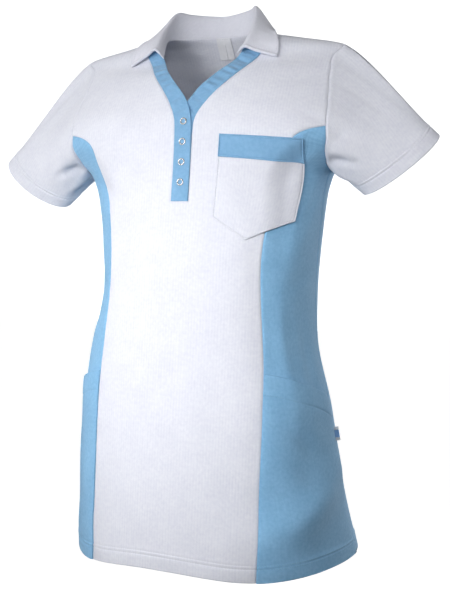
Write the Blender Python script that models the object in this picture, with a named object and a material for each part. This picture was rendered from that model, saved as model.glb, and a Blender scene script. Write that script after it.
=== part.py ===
"""Women's tunic polo shirt, worn and hollow: every sewn piece is its own closed wall of cloth.

The front faces -Y, +Z is up and the wearer's left is +X.  The origin is level with the neck
ends of the shoulder seams, on the garment's middle plane.  A point of the torso is named by
an angle round the body, 0 at centre front, 90 at the left side and 180 at centre back, and
by its height.
"""
import math

import bpy
import numpy as np

MM = 0.001
PATH_SAMPLES = 200         # along a seam or an edge before it is cut into equal steps

# Driving dimensions, in millimetres
CLOTH = 1.3                # wall of the knitted cloth
BAND_CLOTH = 1.5           # folded front band
POCKET_CLOTH = 1.2
COLLAR_CLOTH = 1.5
LABEL_CLOTH = 0.6
SEAM_GAP = 0.3             # between neighbouring pieces
HEM_HEIGHT = -745.0        # lower edge at the sides
SLIT_FOOT = -243.0         # lower end of the front opening
PLACKET_HALF = 13.0
TOP_BAND_LIFT = 1.1        # outer face of the upper front band above the cloth
NECK_BAND_LIFT = 0.6       # outer face of the lower band beside the neck
UNDER_BAND_LIFT = -1.4     # the same band where the upper one covers it
BAND_DIVE = (-78.0, -96.0)     # heights between which it goes under
BAND_BREAK_SEAM = -122.0   # where the seam edge of a band turns towards the neck
BAND_BREAK_FREE = -98.0    # and where its free edge does
BACK_NECK_RISE = 4.0       # centre back of the neck above the shoulder seams
FOLD_ARC = 2.4             # millimetres of girth to a degree, for placing folds
LONGEST_MITRE = 2.4        # of the armhole's corner, in wall thicknesses
SNAP_HEIGHTS = (-133.0, -161.0, -189.0, -217.0)
SNAP_RING = 4.4
SNAP_WIRE = 0.95
SIDES = {1: "left", -1: "right"}
BAND_SEAM_COLUMN = {1: 1, -1: 2}     # of the band seam's table, on each side

# Rows and columns of the wall meshes
SEAM_ROWS = 34
SIDE_CLIMB = 0.85          # below one, the side seams' rows crowd towards the underarm
FRONT_SLIT_ROW = 20
YOKE_ROWS = 7
FRONT_COLUMNS = 8
SIDE_FRONT_COLUMNS = 6
SIDE_BACK_COLUMNS = 5
BACK_COLUMNS = 8
BACK_NECK_ROWS = 5
SLEEVE_STEPS = (0.0, 0.07, 0.16, 0.27, 0.40, 0.54, 0.68, 0.84, 1.0)
BAND_COLUMNS = 3
COLLAR_STATIONS = 12
LEAF_FIRST = 5             # row of the collar where its leaf starts
POCKET_HALF_COLUMNS = 6
CHEST_POCKET_ROWS = 7
CHEST_BAND_ROWS = 2
MOUTH_ROWS = 3             # of a side pocket, above the rows it shares with its panel
TAB_ROWS = 2
TAB_COLUMNS = 2
LABEL_ROWS = 5
LABEL_COLUMNS = 4
SNAP_SEGMENTS = 18
SNAP_FACETS = 6

# The torso at each height: half widths, and where its side, front and back lie.
# It hangs a little to one side, so the two half widths differ below the chest.
FORM = (
    # height, half_left, half_right, side_y, front_y, back_y, power
    (8, 60, 60, 8.0, -16, 54, 1.9),
    (0, 71, 71, 7.0, -20, 56, 1.7),
    (-12, 131, 131, 8.0, -26, 64, 1.45),
    (-25, 196, 196, 9.0, -30, 73, 1.35),
    (-40, 219, 219, 8.5, -33, 81, 1.35),
    (-60, 231, 231, 7.5, -54, 91, 1.4),
    (-80, 237, 237, 6.0, -66, 97, 1.55),
    (-100, 238, 238, 4.5, -73, 101, 1.9),
    (-130, 238, 238, 3.0, -83.5, 105, 2.5),
    (-145, 234, 234, 2.0, -86, 106, 2.75),
    (-160, 225, 225, 1.5, -88, 107, 2.8),
    (-180, 206, 206, 1.0, -90.5, 107.5, 2.55),
    (-200, 187.5, 187, 1.0, -93, 107.5, 2.35),
    (-220, 179.5, 177, 1.5, -96, 107, 2.3),
    (-260, 172.5, 166.5, 2.0, -101.5, 104, 2.35),
    (-320, 164.5, 156.5, 2.0, -112, 99, 2.45),
    (-380, 162.5, 158.5, -3.0, -118, 94, 2.4),
    (-440, 167, 174.5, -10.0, -124, 92, 2.25),
    (-520, 184.5, 186.5, -13.0, -133, 104, 2.25),
    (-600, 195.5, 194, -8.0, -141, 122, 2.25),
    (-680, 206, 198, 2.0, -148, 143, 2.25),
    (-745, 218.5, 200, 10.0, -154, 163, 2.25),
)

# Seams between the white middle and the blue sides: breadth from the middle plane
FRONT_PRINCESS = (
    # height, breadth
    (-144, 197.5), (-146, 186), (-150, 172), (-157, 159), (-166, 152), (-185, 148.5),
    (-205, 144), (-224, 138.5), (-245, 129), (-270, 122.5), (-300, 118.5), (-340, 117),
    (-380, 118.4), (-430, 121.6), (-480, 125.4), (-530, 127), (-640, 127), (-745, 127.7),
)
BACK_PRINCESS = (
    # height, breadth
    (-138, 197.5), (-141, 186), (-147, 170), (-157, 155), (-180, 143), (-220, 132),
    (-280, 118), (-340, 112), (-400, 112), (-480, 118), (-560, 122), (-745, 126),
)
SIDE_SEAM = (
    # height, angle
    (-200, 88), (-300, 91), (-420, 95), (-520, 96), (-745, 95),
)
ARMHOLE_FRONT = (
    # height, y
    (-25, 9.0), (-35, 1), (-50, -9), (-70, -20.5), (-90, -32), (-110, -44.5), (-130, -55.5),
    (-145, -59.5), (-160, -57.5), (-175, -49), (-187, -36), (-196, -19), (-200, 1.0),
)
ARMHOLE_BACK = (
    # height, y
    (-25, 9.0), (-35, 18), (-50, 29), (-70, 41), (-95, 52), (-120, 60), (-145, 63),
    (-165, 58), (-182, 46), (-193, 29), (-198, 14), (-200, 1.0),
)
HEM_DIPS = (
    # angle, how far the lower edge is below the level of its sides
    (-180, 0), (-120, 0), (-80, 1), (-45, 11), (-5, 1), (30, 7), (80, -3), (120, -1),
    (180, 0),
)
# Front opening: neckline, the seam where the bands join the front, the bands' free edges
NECKLINE = (
    # height, breadth
    (0, 71), (-15, 67.5), (-25, 64.5), (-35, 60), (-45, 53.5), (-55, 44.7), (-65, 34.9),
    (-75, 24.8), (-85, 14.8), (-95, 6.1), (-103, 0),
)
BAND_SEAM = (
    # height, breadth on the wearer's left, breadth on the wearer's right
    (-5.5, 98, 98), (-25, 94, 91), (-40, 87, 82), (-50, 79, 73.5), (-60, 70.5, 65),
    (-70, 61, 56), (-80, 51, 46.5), (-90, 41, 38), (-100, 32.5, 30.3), (-110, 25, 24),
    (-120, 19, 18.5), (-130, 15.2, 15), (-145, 13.5, 13.4), (-165, 13, 13), (-243, 13, 13),
)
TOP_BAND_EDGE = (
    # height, breadth, past the middle where it is negative
    (-95, 6.1), (-100, 2.2), (-106, -1.5), (-115, -6), (-128, -10.2), (-140, -11.8),
    (-166, -12.7), (-243, -12.7),
)
UNDER_BAND_EDGE = (
    # height, breadth, past the middle where it is negative
    (-95, 6.1), (-102, 1), (-110, -4), (-125, -9), (-150, -10), (-243, -10),
)

# Largest folds: from one point to another, how wide and how far out or in
FOLDS = (
    # angle_1, height_1, angle_2, height_2, half_width, depth
    (30, -735, 78, -655, 26, 3.5),
    (48, -640, 82, -560, 30, -2.5),
    (-70, -730, -30, -690, 26, 2.5),
    (-62, -210, -32, -255, 18, -2.4),
    (74, -250, 60, -345, 20, 2.2),
    (-74, -255, -62, -350, 20, 2.2),
    (12, -290, 20, -700, 34, -2.4),
    (-14, -300, -22, -700, 34, -2.0),
    (120, -735, 150, -560, 34, 4.0),
    (-118, -735, -148, -560, 34, 4.0),
    (172, -735, 176, -480, 36, -4.0),
    (142, -330, 218, -345, 24, -3.0),
    (128, -190, 152, -300, 22, 2.5),
    (-128, -190, -152, -300, 22, 2.5),
)

# Cuffs: the middle of each opening and the way to its outer top and to its front
CUFFS = {
    # side: centre, to_top, to_front
    1: ((287, -10, -196), (51, -1, 37), (10, -26, -12)),
    -1: ((-287, -10, -210), (-51, -1, 36), (-9, -25, -12)),
}
SLEEVE_AXIS = (0.74, -0.04, -0.67)
SLEEVE_CAP = 0.6          # how squarely the top of a sleeve leaves the armhole
SLEEVE_CAP_BASE = 0.28     # the same halfway down the armhole
SLEEVE_LEAVE = 0.57         # reach of that direction, and of the cuff's, along the sleeve
SLEEVE_ARRIVE = 0.9

# The collar, from its front end to centre back: neck seam, fold and outer edge
COLLAR = (
    # seam xyz, fold xyz, edge xyz
    ((57, -32, -36), (69.5, -36, -27), (115, -25, -44)),
    ((62, -17, -21), (70, -17, -4), (114, -14, -25)),
    ((67, 1, -4), (68, 4, 19), (100.5, 5, -3.5)),
    ((66, 22, 4), (60, 24, 39.5), (92, 29, 1)),
    ((48, 40, 5.5), (46, 41, 39.5), (73, 54, -8)),
    ((24, 52, 6), (23.5, 53, 38), (38, 68, -16)),
    ((0, 56, 6), (0, 57.5, 36.5), (0, 73, -18)),
)
COLLAR_ROLL = 3.0          # half the thickness of the rolled fold
COLLAR_SECTION = (
    # shares of seam, fold and edge, then steps up the stand, down the leaf and out, in rolls
    (1.0, 0.0, 0.0, 0.0, 0.0, 0.0),
    (0.55, 0.45, 0.0, 0.0, 0.0, 0.0),
    (0.0, 1.0, 0.0, -2.2, 0.0, 0.0),
    (0.0, 1.0, 0.0, -0.7, 0.0, 0.1),
    (0.0, 1.0, 0.0, 0.1, -0.1, 0.6),
    (0.0, 1.0, 0.0, 0.0, 1.4, 0.9),
    (0.0, 0.75, 0.25, 0.0, 0.0, 0.9),
    (0.0, 0.45, 0.55, 0.0, 0.0, 0.5),
    (0.0, 0.0, 1.0, 0.0, 0.0, 0.0),
)
LEAF_LIFT = 3.1            # outer face of the collar's leaf above the torso, at least

# Chest pocket corners on the wearer's left, as breadth and height
CHEST_POCKET = {
    "top_inner": (55, -152), "top_outer": (170, -161),
    "band_inner": (54, -183), "band_outer": (166, -193),
    "foot_inner": (50, -265), "foot_point": (97, -296), "foot_outer": (152, -271),
}
SIDE_POCKET_MOUTH = (
    # share of the way from princess seam to side seam, height
    (0.0, -475), (0.15, -479), (0.45, -491), (0.8, -508), (1.0, -521),
)
SIDE_POCKET_DROP = {1: 0.0, -1: -9.0}      # the wearer's right one hangs lower
SIDE_POCKET_GAPE = 6.0     # how far the middle of a mouth stands out
SIDE_POCKET_GAPE_LONG = 70.0
MOUTH_CLEAR = 10.0         # from the mouth down to the first row shared with the panel
SIDE_POCKET_INSET = 0.9    # of its edges from the edges of its panel
SIDE_POCKET_CLEAR = 0.8    # between a side pocket and the cloth under it
CHEST_POCKET_CLEAR = (0.6, 1.7)     # at its inner and its outer edge
TAB_HEIGHTS = (-561.0, -581.0)
TAB_TURN = 0.6             # degrees behind the side seam
TAB_REACH = 7.0
LABEL_HALF = 12.0
LABEL_LONG = 28.0
LABEL_TOP = 3.0
LABEL_CLEAR = 1.3          # between the label and the cloth behind it

COLOURS = {
    # name: base colour, roughness, metallic
    "white_pique": ((0.86, 0.87, 0.90), 0.85, 0.0),
    "blue_pique": ((0.22, 0.45, 0.70), 0.85, 0.0),
    "snap_metal": ((0.72, 0.73, 0.75), 0.25, 1.0),
    "label_white": ((0.88, 0.89, 0.91), 0.6, 0.0),
    "tab_cloth": ((0.55, 0.75, 0.88), 0.6, 0.0),
}


def start_empty():
    """Remove what a new file holds."""
    for thing in list(bpy.data.objects):
        bpy.data.objects.remove(thing, do_unlink=True)


def unit(vectors):
    """Each vector at length one."""
    return vectors / np.maximum(np.linalg.norm(vectors, axis=-1, keepdims=True), 1e-12)


def smooth_at(keys, values, at):
    """A smooth curve through a table's values, read at other keys."""
    order = np.argsort(keys)
    keys = np.asarray(keys, float)[order]
    values = np.asarray(values, float)[order]
    at = np.clip(np.asarray(at, float), keys[0], keys[-1])
    step = np.diff(keys)
    slope = np.diff(values) / step
    lean = np.empty_like(values)
    lean[0], lean[-1] = slope[0], slope[-1]
    lean[1:-1] = (slope[:-1] * step[1:] + slope[1:] * step[:-1]) / (step[:-1] + step[1:])
    i = np.clip(np.searchsorted(keys, at) - 1, 0, len(step) - 1)
    t = (at - keys[i]) / step[i]
    start = (2 * t**3 - 3 * t**2 + 1) * values[i] + (t**3 - 2 * t**2 + t) * step[i] * lean[i]
    end = (3 * t**2 - 2 * t**3) * values[i + 1] + (t**3 - t**2) * step[i] * lean[i + 1]
    return start + end


def read(table, at, column=1):
    """One column of a table whose first column is the height."""
    return smooth_at([row[0] for row in table], [row[column] for row in table], at)


def form_sizes(height, sign):
    """Half width on one side, side, front and back places and the power of a slice."""
    half = np.where(np.asarray(sign) >= 0, read(FORM, height, 1), read(FORM, height, 2))
    return [half] + [read(FORM, height, column) for column in range(3, 7)]


def bare_form(angle, height):
    """Points of the torso without its folds; angle in degrees, signed."""
    half, side, front, back, power = form_sizes(height, np.sin(np.radians(angle)))
    turn = np.radians(angle)
    s, c = np.sin(turn), np.cos(turn)
    depth = np.where(c > 0, side - front, back - side)
    x = half * np.sign(s) * np.abs(s) ** (2 / power)
    y = side - depth * np.sign(c) * np.abs(c) ** (2 / power)
    return np.stack(np.broadcast_arrays(x, y, np.asarray(height, float)), -1)


def form_level(points):
    """Below zero inside the torso and above zero outside."""
    half, side, front, back, power = form_sizes(points[..., 2], points[..., 0])
    depth = np.where(points[..., 1] < side, side - front, back - side)
    across = np.abs(points[..., 0] / half) ** power
    return across + np.abs((points[..., 1] - side) / depth) ** power - 1


def form_normal(points):
    """The way out of the torso at each point."""
    step = 0.4
    way = [form_level(points + step * axis) - form_level(points - step * axis)
           for axis in np.eye(3)]
    return unit(np.stack(way, -1))


def fold_depth(angle, height):
    """How far the folds move the cloth out at a point of the torso."""
    depth = np.zeros(np.broadcast(angle, height).shape)
    for angle_1, height_1, angle_2, height_2, wide, deep in FOLDS:
        middle = (angle_1 + angle_2) / 2
        u = ((np.asarray(angle, float) - middle + 180) % 360 - 180 + middle) * FOLD_ARC
        start = np.array([angle_1 * FOLD_ARC, height_1])
        run = np.array([angle_2 * FOLD_ARC, height_2]) - start
        length = np.hypot(*run)
        ahead = ((u - start[0]) * run[0] + (height - start[1]) * run[1]) / length
        aside = ((u - start[0]) * run[1] - (height - start[1]) * run[0]) / length
        past = np.maximum(np.abs(ahead - length / 2) - length / 2, 0) / (1.5 * wide)
        taper = np.sin(np.pi * np.clip(ahead / length, 0.12, 0.88))
        depth = depth + deep * taper * np.exp(-(aside / wide) ** 2 - past**2)
    return depth


def torso(angle, height):
    """Outer face of the cloth, and the way out of it."""
    points = bare_form(angle, height)
    outward = form_normal(points)
    return points + outward * fold_depth(angle, height)[..., None], outward


def angle_at_breadth(breadth, height, back=False):
    """The angle whose point lies this far from the middle plane."""
    half, _, _, _, power = form_sizes(height, breadth)
    share = np.clip(np.abs(breadth) / half, 0, 1)
    angle = np.degrees(np.arcsin(share ** (power / 2))) * np.sign(breadth)
    return np.where(breadth < 0, -180 - angle, 180 - angle) if back else angle


def angle_at_y(y, height):
    """The angle on the wearer's left whose point lies at this y."""
    _, side, front, back, power = form_sizes(height, 1)
    depth = np.where(y < side, side - front, back - side)
    share = np.clip(np.abs(side - y) / depth, 0, 1) ** (power / 2)
    return np.degrees(np.arccos(share * np.sign(side - y)))


def hem_height(angle):
    """The lower edge, which dips a little between the side seams and centre front."""
    return HEM_HEIGHT - smooth_at(*zip(*HEM_DIPS), angle)


def evenly(path, count):
    """A path of angles and heights, read again at equal steps along the cloth."""
    points = bare_form(path[:, 0], path[:, 1])
    run = np.concatenate([[0], np.cumsum(np.linalg.norm(np.diff(points, axis=0), axis=1))])
    at = np.linspace(0, run[-1], count + 1)
    return np.stack([np.interp(at, run, path[:, k]) for k in range(2)], -1)


def path_by_height(low, high, angle_of):
    """A path that climbs from one height to another."""
    heights = np.linspace(low, high, PATH_SAMPLES)
    return np.stack([angle_of(heights), heights], -1)


def armhole_path(table, side):
    """Half of the armhole, from the shoulder tip to the underarm."""
    top, foot = table[0][0], table[-1][0]
    turn = np.linspace(0, np.pi, PATH_SAMPLES)
    heights = foot + (top - foot) * (1 + np.cos(turn)) / 2
    return np.stack([side * angle_at_y(read(table, heights), heights), heights], -1)


def split_path(path, height):
    """Cut a falling path at a height."""
    k = int(np.argmin(np.abs(path[:, 1] - height)))
    return path[:k + 1], path[k:]


def breadth_path(table, low, high, side, column=1, back=False):
    """A climbing path at the breadth that a table gives, on one side of the shirt."""
    return path_by_height(
        low, high, lambda z: angle_at_breadth(side * read(table, z, column), z, back))


def patch(left, right, bottom, top):
    """Angles and heights inside four edges, the rows evened along the cloth."""
    rows, columns = len(left), len(bottom)
    v = np.linspace(0, 1, rows)[:, None, None]
    u = np.linspace(0, 1, columns)[None, :, None]
    sides = left[:, None] * (1 - u) + right[:, None] * u
    ends = bottom[None] * (1 - v) + top[None] * v
    corners = (bottom[0] * (1 - u) + bottom[-1] * u) * (1 - v)
    corners = corners + (top[0] * (1 - u) + top[-1] * u) * v
    grid = sides + ends - corners
    for j in range(1, rows - 1):
        grid[j] = evenly(grid[j], columns - 1)
    return grid


def seam_paths(side):
    """Every seam of one half of the shirt, from the hem or the shoulder."""
    front_hole = armhole_path(ARMHOLE_FRONT, side)
    back_hole = armhole_path(ARMHOLE_BACK, side)
    front_top, back_top = FRONT_PRINCESS[0][0], BACK_PRINCESS[0][0]
    front_upper, front_lower = split_path(front_hole, front_top)
    back_upper, back_lower = split_path(back_hole, back_top)
    front_seam = breadth_path(FRONT_PRINCESS, HEM_HEIGHT, front_top, side)
    back_seam = breadth_path(BACK_PRINCESS, HEM_HEIGHT, back_top, side, back=True)
    front_seam[-1], back_seam[-1] = front_upper[-1], back_upper[-1]
    front_seam[0, 1] = hem_height(front_seam[0, 0])
    back_seam[0, 1] = hem_height(back_seam[0, 0])
    front_rows = evenly(front_seam, SEAM_ROWS)
    climb = np.clip((front_rows[:, 1] - HEM_HEIGHT) / (front_top - HEM_HEIGHT), 0, 1)
    climb = climb ** SIDE_CLIMB
    heights = HEM_HEIGHT + (front_hole[-1, 1] - HEM_HEIGHT) * climb
    side_seam = np.stack([side * read(SIDE_SEAM, heights), heights], -1)
    side_seam[-1] = front_hole[-1]
    side_seam[0, 1] = hem_height(side_seam[0, 0])
    return {
        "front": front_rows,
        "back": evenly(back_seam, SEAM_ROWS),
        "side": side_seam,
        "front_upper": evenly(front_upper, YOKE_ROWS),
        "front_lower": evenly(front_lower, SIDE_FRONT_COLUMNS),
        "back_upper": evenly(back_upper, YOKE_ROWS),
        "back_lower": evenly(back_lower, SIDE_BACK_COLUMNS),
    }


def hem_path(first, last, columns):
    """The lower edge between two angles."""
    angles = np.linspace(first, last, PATH_SAMPLES)
    return evenly(np.stack([angles, hem_height(angles)], -1), columns)


def shoulder_path(high, low, columns, side):
    """The shoulder seam from one height out to the armhole."""
    heights = np.linspace(high, low, PATH_SAMPLES)
    return evenly(np.stack([np.full(PATH_SAMPLES, side * 90.0), heights], -1), columns)


def armhole_key(path):
    """Names each point of the armhole, to find it again from either side."""
    return [tuple(np.round(row, 4)) for row in path]


def sleeve_grid(seams, side):
    """Rings of the sleeve from the armhole to the cuff, and the armhole's own points."""
    front = np.vstack([seams["front_upper"][:-1], seams["front_lower"]])
    back = np.vstack([seams["back_upper"][:-1], seams["back_lower"]])
    loop = np.vstack([front, back[::-1][1:-1]])
    points, torso_out = torso(loop[:, 0], loop[:, 1])
    front_turn = np.linspace(0, np.pi, len(front))
    back_turn = np.linspace(np.pi, 2 * np.pi, len(back))[1:-1]
    turn = np.concatenate([front_turn, back_turn])
    centre, to_top, to_front = (np.array(row, float) for row in CUFFS[side])
    ring = centre + np.cos(turn)[:, None] * to_top + np.sin(turn)[:, None] * to_front
    axis = unit(np.array(SLEEVE_AXIS) * (side, 1, 1))
    along = np.roll(points, -1, 0) - np.roll(points, 1, 0)
    away = unit(np.cross(torso_out, unit(along)))
    away = away * np.sign(np.sum(away * (side, 0, 0), axis=1, keepdims=True) + 1e-9)
    share = np.clip(np.cos(turn) * SLEEVE_CAP + SLEEVE_CAP_BASE, 0, 1)[:, None]
    reach = np.linalg.norm(ring - points, axis=1, keepdims=True)
    leave = unit(away * share + axis * (1 - share)) * reach * SLEEVE_LEAVE
    arrive = axis * reach * SLEEVE_ARRIVE
    rings = []
    for t in SLEEVE_STEPS:
        hold = (2 * t**3 - 3 * t**2 + 1) * points + (t**3 - 2 * t**2 + t) * leave
        rings.append(hold + (3 * t**2 - 2 * t**3) * ring + (t**3 - t**2) * arrive)
    return np.array(rings), loop, torso_out


def grid_normals(grid, side):
    """The way out at each point of a ring grid."""
    round_it = np.roll(grid, -1, 1) - np.roll(grid, 1, 1)
    down = np.gradient(grid, axis=0)
    return unit(np.cross(round_it, down)) * side


def mitre(first, second):
    """Reaches both walls' inner faces at once where two walls meet at an angle."""
    shared = np.sum(first * second, axis=-1, keepdims=True)
    return (first + second) / np.maximum(1 + shared, 2 / LONGEST_MITRE**2)


def grid_faces(index, flip=False, closed=False):
    """Four-sided faces of a grid of point numbers."""
    if closed:
        index = np.hstack([index, index[:, :1]])
    a, b = index[:-1, :-1].ravel(), index[:-1, 1:].ravel()
    c, d = index[1:, 1:].ravel(), index[1:, :-1].ravel()
    order = (a, d, c, b) if flip else (a, b, c, d)
    return [tuple(int(n) for n in quad) for quad in zip(*order)]


class Layer:
    """One layer of cloth: points, the way out at each, and faces seen from outside."""

    def __init__(self):
        self.points = []
        self.outward = []
        self.faces = []
        self.known = {}

    def number(self, point, way):
        key = tuple(np.round(point, 4))
        if key not in self.known:
            self.known[key] = len(self.points)
            self.points.append(point)
            self.outward.append(way)
        return self.known[key]

    def add(self, grid, outward, flip=False, closed=False):
        rows, columns = grid.shape[:2]
        index = np.array([[self.number(grid[j, i], outward[j, i]) for i in range(columns)]
                          for j in range(rows)])
        self.faces += grid_faces(index, flip, closed)


def layer_normals(points, faces):
    """The way out of a layer at each point, from the faces round it."""
    corners = np.array(faces)
    across = points[corners[:, 2]] - points[corners[:, 0]]
    along = points[corners[:, 3]] - points[corners[:, 1]]
    normals = np.zeros_like(points)
    for corner in corners.T:
        np.add.at(normals, corner, np.cross(across, along))
    return unit(normals)


def pulled_in(points, faces, gap):
    """Draw a layer's edges in by half a seam gap."""
    normals = layer_normals(points, faces)
    edges = {(face[k], face[(k + 1) % len(face)]) for face in faces for k in range(len(face))}
    rim = [(a, b) for a, b in edges if (b, a) not in edges]
    after = dict(rim)
    before = {b: a for a, b in rim}
    moved = points.copy()
    for spot, following in after.items():
        arriving = unit(points[spot] - points[before[spot]])
        leaving = unit(points[following] - points[spot])
        first = unit(np.cross(normals[spot], arriving))
        second = unit(np.cross(normals[spot], leaving))
        blunt = max(1 + float(first @ second), 0.5)
        moved[spot] = points[spot] + (first + second) * gap / 2 / blunt
    return moved, sorted(rim)


def wall(name, layer, thickness, colour, gap=SEAM_GAP):
    """A closed wall of cloth whose outer face is a layer.

    The rim is split from its higher outer corner, so that two walls match along a seam.
    """
    points = np.array(layer.points)
    outward = np.array(layer.outward)
    outer, rim = pulled_in(points, layer.faces, gap)
    inner = outer - outward * thickness
    count = len(outer)
    faces = list(layer.faces)
    faces += [tuple(n + count for n in reversed(face)) for face in layer.faces]
    for a, b in rim:
        if outer[a][2] > outer[b][2]:
            faces += [(b, a, b + count), (a, a + count, b + count)]
        else:
            faces += [(b, a, a + count), (b, a + count, b + count)]
    return make_object(name, np.vstack([outer, inner]), faces, colour)


def make_object(name, points, faces, colour):
    """A named mesh object of the shirt, from points in millimetres."""
    mesh = bpy.data.meshes.new(name)
    mesh.from_pydata([tuple(row) for row in points * MM], [], faces)
    mesh.shade_smooth()
    mesh.set_sharp_from_angle(angle=math.radians(50))
    thing = bpy.data.objects.new(name, mesh)
    mesh.materials.append(material(colour))
    shirt_collection().objects.link(thing)
    return thing


def shirt_collection():
    """The collection that holds the shirt."""
    shirt = bpy.data.collections.get("polo_shirt")
    if shirt is None:
        shirt = bpy.data.collections.new("polo_shirt")
        bpy.context.scene.collection.children.link(shirt)
    return shirt


def material(name):
    """A plain finish from the table of colours."""
    finish = bpy.data.materials.get(name)
    if finish is None:
        colour, roughness, metallic = COLOURS[name]
        finish = bpy.data.materials.new(name)
        finish.use_nodes = True
        shader = finish.node_tree.nodes["Principled BSDF"]
        shader.inputs["Base Color"].default_value = (*colour, 1)
        shader.inputs["Roughness"].default_value = roughness
        shader.inputs["Metallic"].default_value = metallic
    return finish


def lifted(path_grid, lift=0.0):
    """Grid of torso points moved out, and the way out at each."""
    points, outward = torso(path_grid[..., 0], path_grid[..., 1])
    return points + outward * np.asarray(lift)[..., None], outward


def with_mitres(path_grid, outward, mitres):
    """Put the shared mitre in place of the way out along an armhole."""
    ways = outward.copy()
    for j, i in np.ndindex(path_grid.shape[:2]):
        shared = mitres.get(tuple(np.round(path_grid[j, i], 4)))
        if shared is not None:
            ways[j, i] = shared
    return ways


def add_torso_grid(layer, path_grid, side, mitres):
    """Add one side's patch of the torso to a layer."""
    points, outward = lifted(path_grid)
    layer.add(points, with_mitres(path_grid, outward, mitres), flip=side < 0)


def band_seam(side):
    """The seam that joins a band to the front, from the foot of the opening up."""
    path = breadth_path(BAND_SEAM, SLIT_FOOT, BAND_SEAM[0][0], side, BAND_SEAM_COLUMN[side])
    path = evenly(path, SEAM_ROWS + YOKE_ROWS - FRONT_SLIT_ROW)
    path[-1] = (side * 90.0, BAND_SEAM[0][0])
    return path


def front_panel(seams, mitres):
    """White centre front with its neck opening."""
    layer = Layer()
    below = ((HEM_HEIGHT, PLACKET_HALF), (SLIT_FOOT, PLACKET_HALF))
    spine = path_by_height(hem_height(0.0), SLIT_FOOT, np.zeros_like)
    spine = evenly(spine, FRONT_SLIT_ROW)
    for side in SIDES:
        low = breadth_path(below, HEM_HEIGHT, SLIT_FOOT, side)
        low[0, 1] = hem_height(low[0, 0])
        inner = np.vstack([evenly(low, FRONT_SLIT_ROW)[:-1], band_seam(side)])
        outer = np.vstack([seams[side]["front"][:-1], seams[side]["front_upper"][::-1]])
        hem = hem_path(inner[0, 0], outer[0, 0], FRONT_COLUMNS)
        shoulder = shoulder_path(inner[-1, 1], FORM[3][0], FRONT_COLUMNS, side)
        outer[-1] = shoulder[-1]
        half = patch(inner, outer, hem, shoulder)
        middle = np.stack([spine, half[:FRONT_SLIT_ROW + 1, 0]], 1)
        for grid in (half, middle):
            add_torso_grid(layer, grid, side, mitres)
    return wall("front_panel", layer, CLOTH, "white_pique")


def back_panel(seams, mitres):
    """White centre back."""
    layer = Layer()
    neck_angle = np.linspace(180, 90, PATH_SAMPLES)
    neck_rise = BACK_NECK_RISE * (1 - np.cos(np.radians(2 * (neck_angle - 90)))) / 2
    for side in SIDES:
        neck = evenly(np.stack([neck_angle * side, neck_rise], -1), BACK_NECK_ROWS)
        spine = path_by_height(hem_height(180.0), neck_rise[0], lambda z: side * 180 + 0 * z)
        inner = np.vstack([evenly(spine, SEAM_ROWS + YOKE_ROWS - BACK_NECK_ROWS)[:-1], neck])
        outer = np.vstack([seams[side]["back"][:-1], seams[side]["back_upper"][::-1]])
        hem = hem_path(inner[0, 0], outer[0, 0], BACK_COLUMNS)
        shoulder = shoulder_path(inner[-1, 1], FORM[3][0], BACK_COLUMNS, side)
        outer[-1] = shoulder[-1]
        add_torso_grid(layer, patch(inner, outer, hem, shoulder), -side, mitres)
    return wall("back_panel", layer, CLOTH, "white_pique")


def side_front_grid(at):
    """Angles and heights of a side front, from one half's seams."""
    hem = hem_path(at["front"][0, 0], at["side"][0, 0], SIDE_FRONT_COLUMNS)
    return patch(at["front"], at["side"], hem, at["front_lower"])


def side_back_grid(at):
    """Angles and heights of a side back, from one half's seams."""
    hem = hem_path(at["side"][0, 0], at["back"][0, 0], SIDE_BACK_COLUMNS)
    return patch(at["side"], at["back"], hem, at["back_lower"][::-1])


def side_panels(seams, mitres):
    """Blue side fronts and side backs."""
    for side, word in SIDES.items():
        for name, grid in (("side_front", side_front_grid), ("side_back", side_back_grid)):
            layer = Layer()
            add_torso_grid(layer, grid(seams[side]), side, mitres)
            wall(f"{name}_{word}", layer, CLOTH, "blue_pique")


def sleeves(seams):
    """White set-in sleeves; gives the shared mitres of the armholes."""
    mitres = {}
    for side, word in SIDES.items():
        rings, loop, torso_out = sleeve_grid(seams[side], side)
        outward = grid_normals(rings, side)
        outward[0] = mitre(torso_out, outward[0])
        mitres.update(zip(armhole_key(loop), outward[0]))
        layer = Layer()
        layer.add(rings, outward, flip=side < 0, closed=True)
        wall(f"sleeve_{word}", layer, CLOTH, "white_pique")
    return mitres


def band_grid(free_table, side):
    """A front band between its free edge and its seam, from the foot to the shoulder."""
    outer = band_seam(side)
    turn = int(np.argmin(np.abs(outer[:, 1] - BAND_BREAK_SEAM)))
    free = NECKLINE[:-2] + free_table
    low = evenly(breadth_path(free, SLIT_FOOT, BAND_BREAK_FREE, side), turn)
    high = breadth_path(free, BAND_BREAK_FREE, free[0][0], side)
    inner = np.vstack([low[:-1], evenly(high, len(outer) - 1 - turn)])
    share = np.linspace(0, 1, BAND_COLUMNS + 1)[None, :, None]
    return inner[:, None] * (1 - share) + outer[:, None] * share


def front_bands():
    """Blue bands of the opening: the wearer's right one lies on the left one."""
    grid = band_grid(TOP_BAND_EDGE, -1)
    points, outward = lifted(grid, np.full(grid.shape[:2], TOP_BAND_LIFT))
    layer = Layer()
    layer.add(points, outward, flip=True)
    wall("placket_right", layer, BAND_CLOTH, "blue_pique")

    grid = band_grid(UNDER_BAND_EDGE, 1)
    high, low = BAND_DIVE
    share = np.clip((grid[..., 1] - low) / (high - low), 0, 1)
    share = share**2 * (3 - 2 * share)
    lift = UNDER_BAND_LIFT + (NECK_BAND_LIFT - UNDER_BAND_LIFT) * share
    points, outward = lifted(grid, lift)
    layer = Layer()
    layer.add(points, outward)
    wall("placket_left", layer, BAND_CLOTH, "blue_pique")


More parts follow.
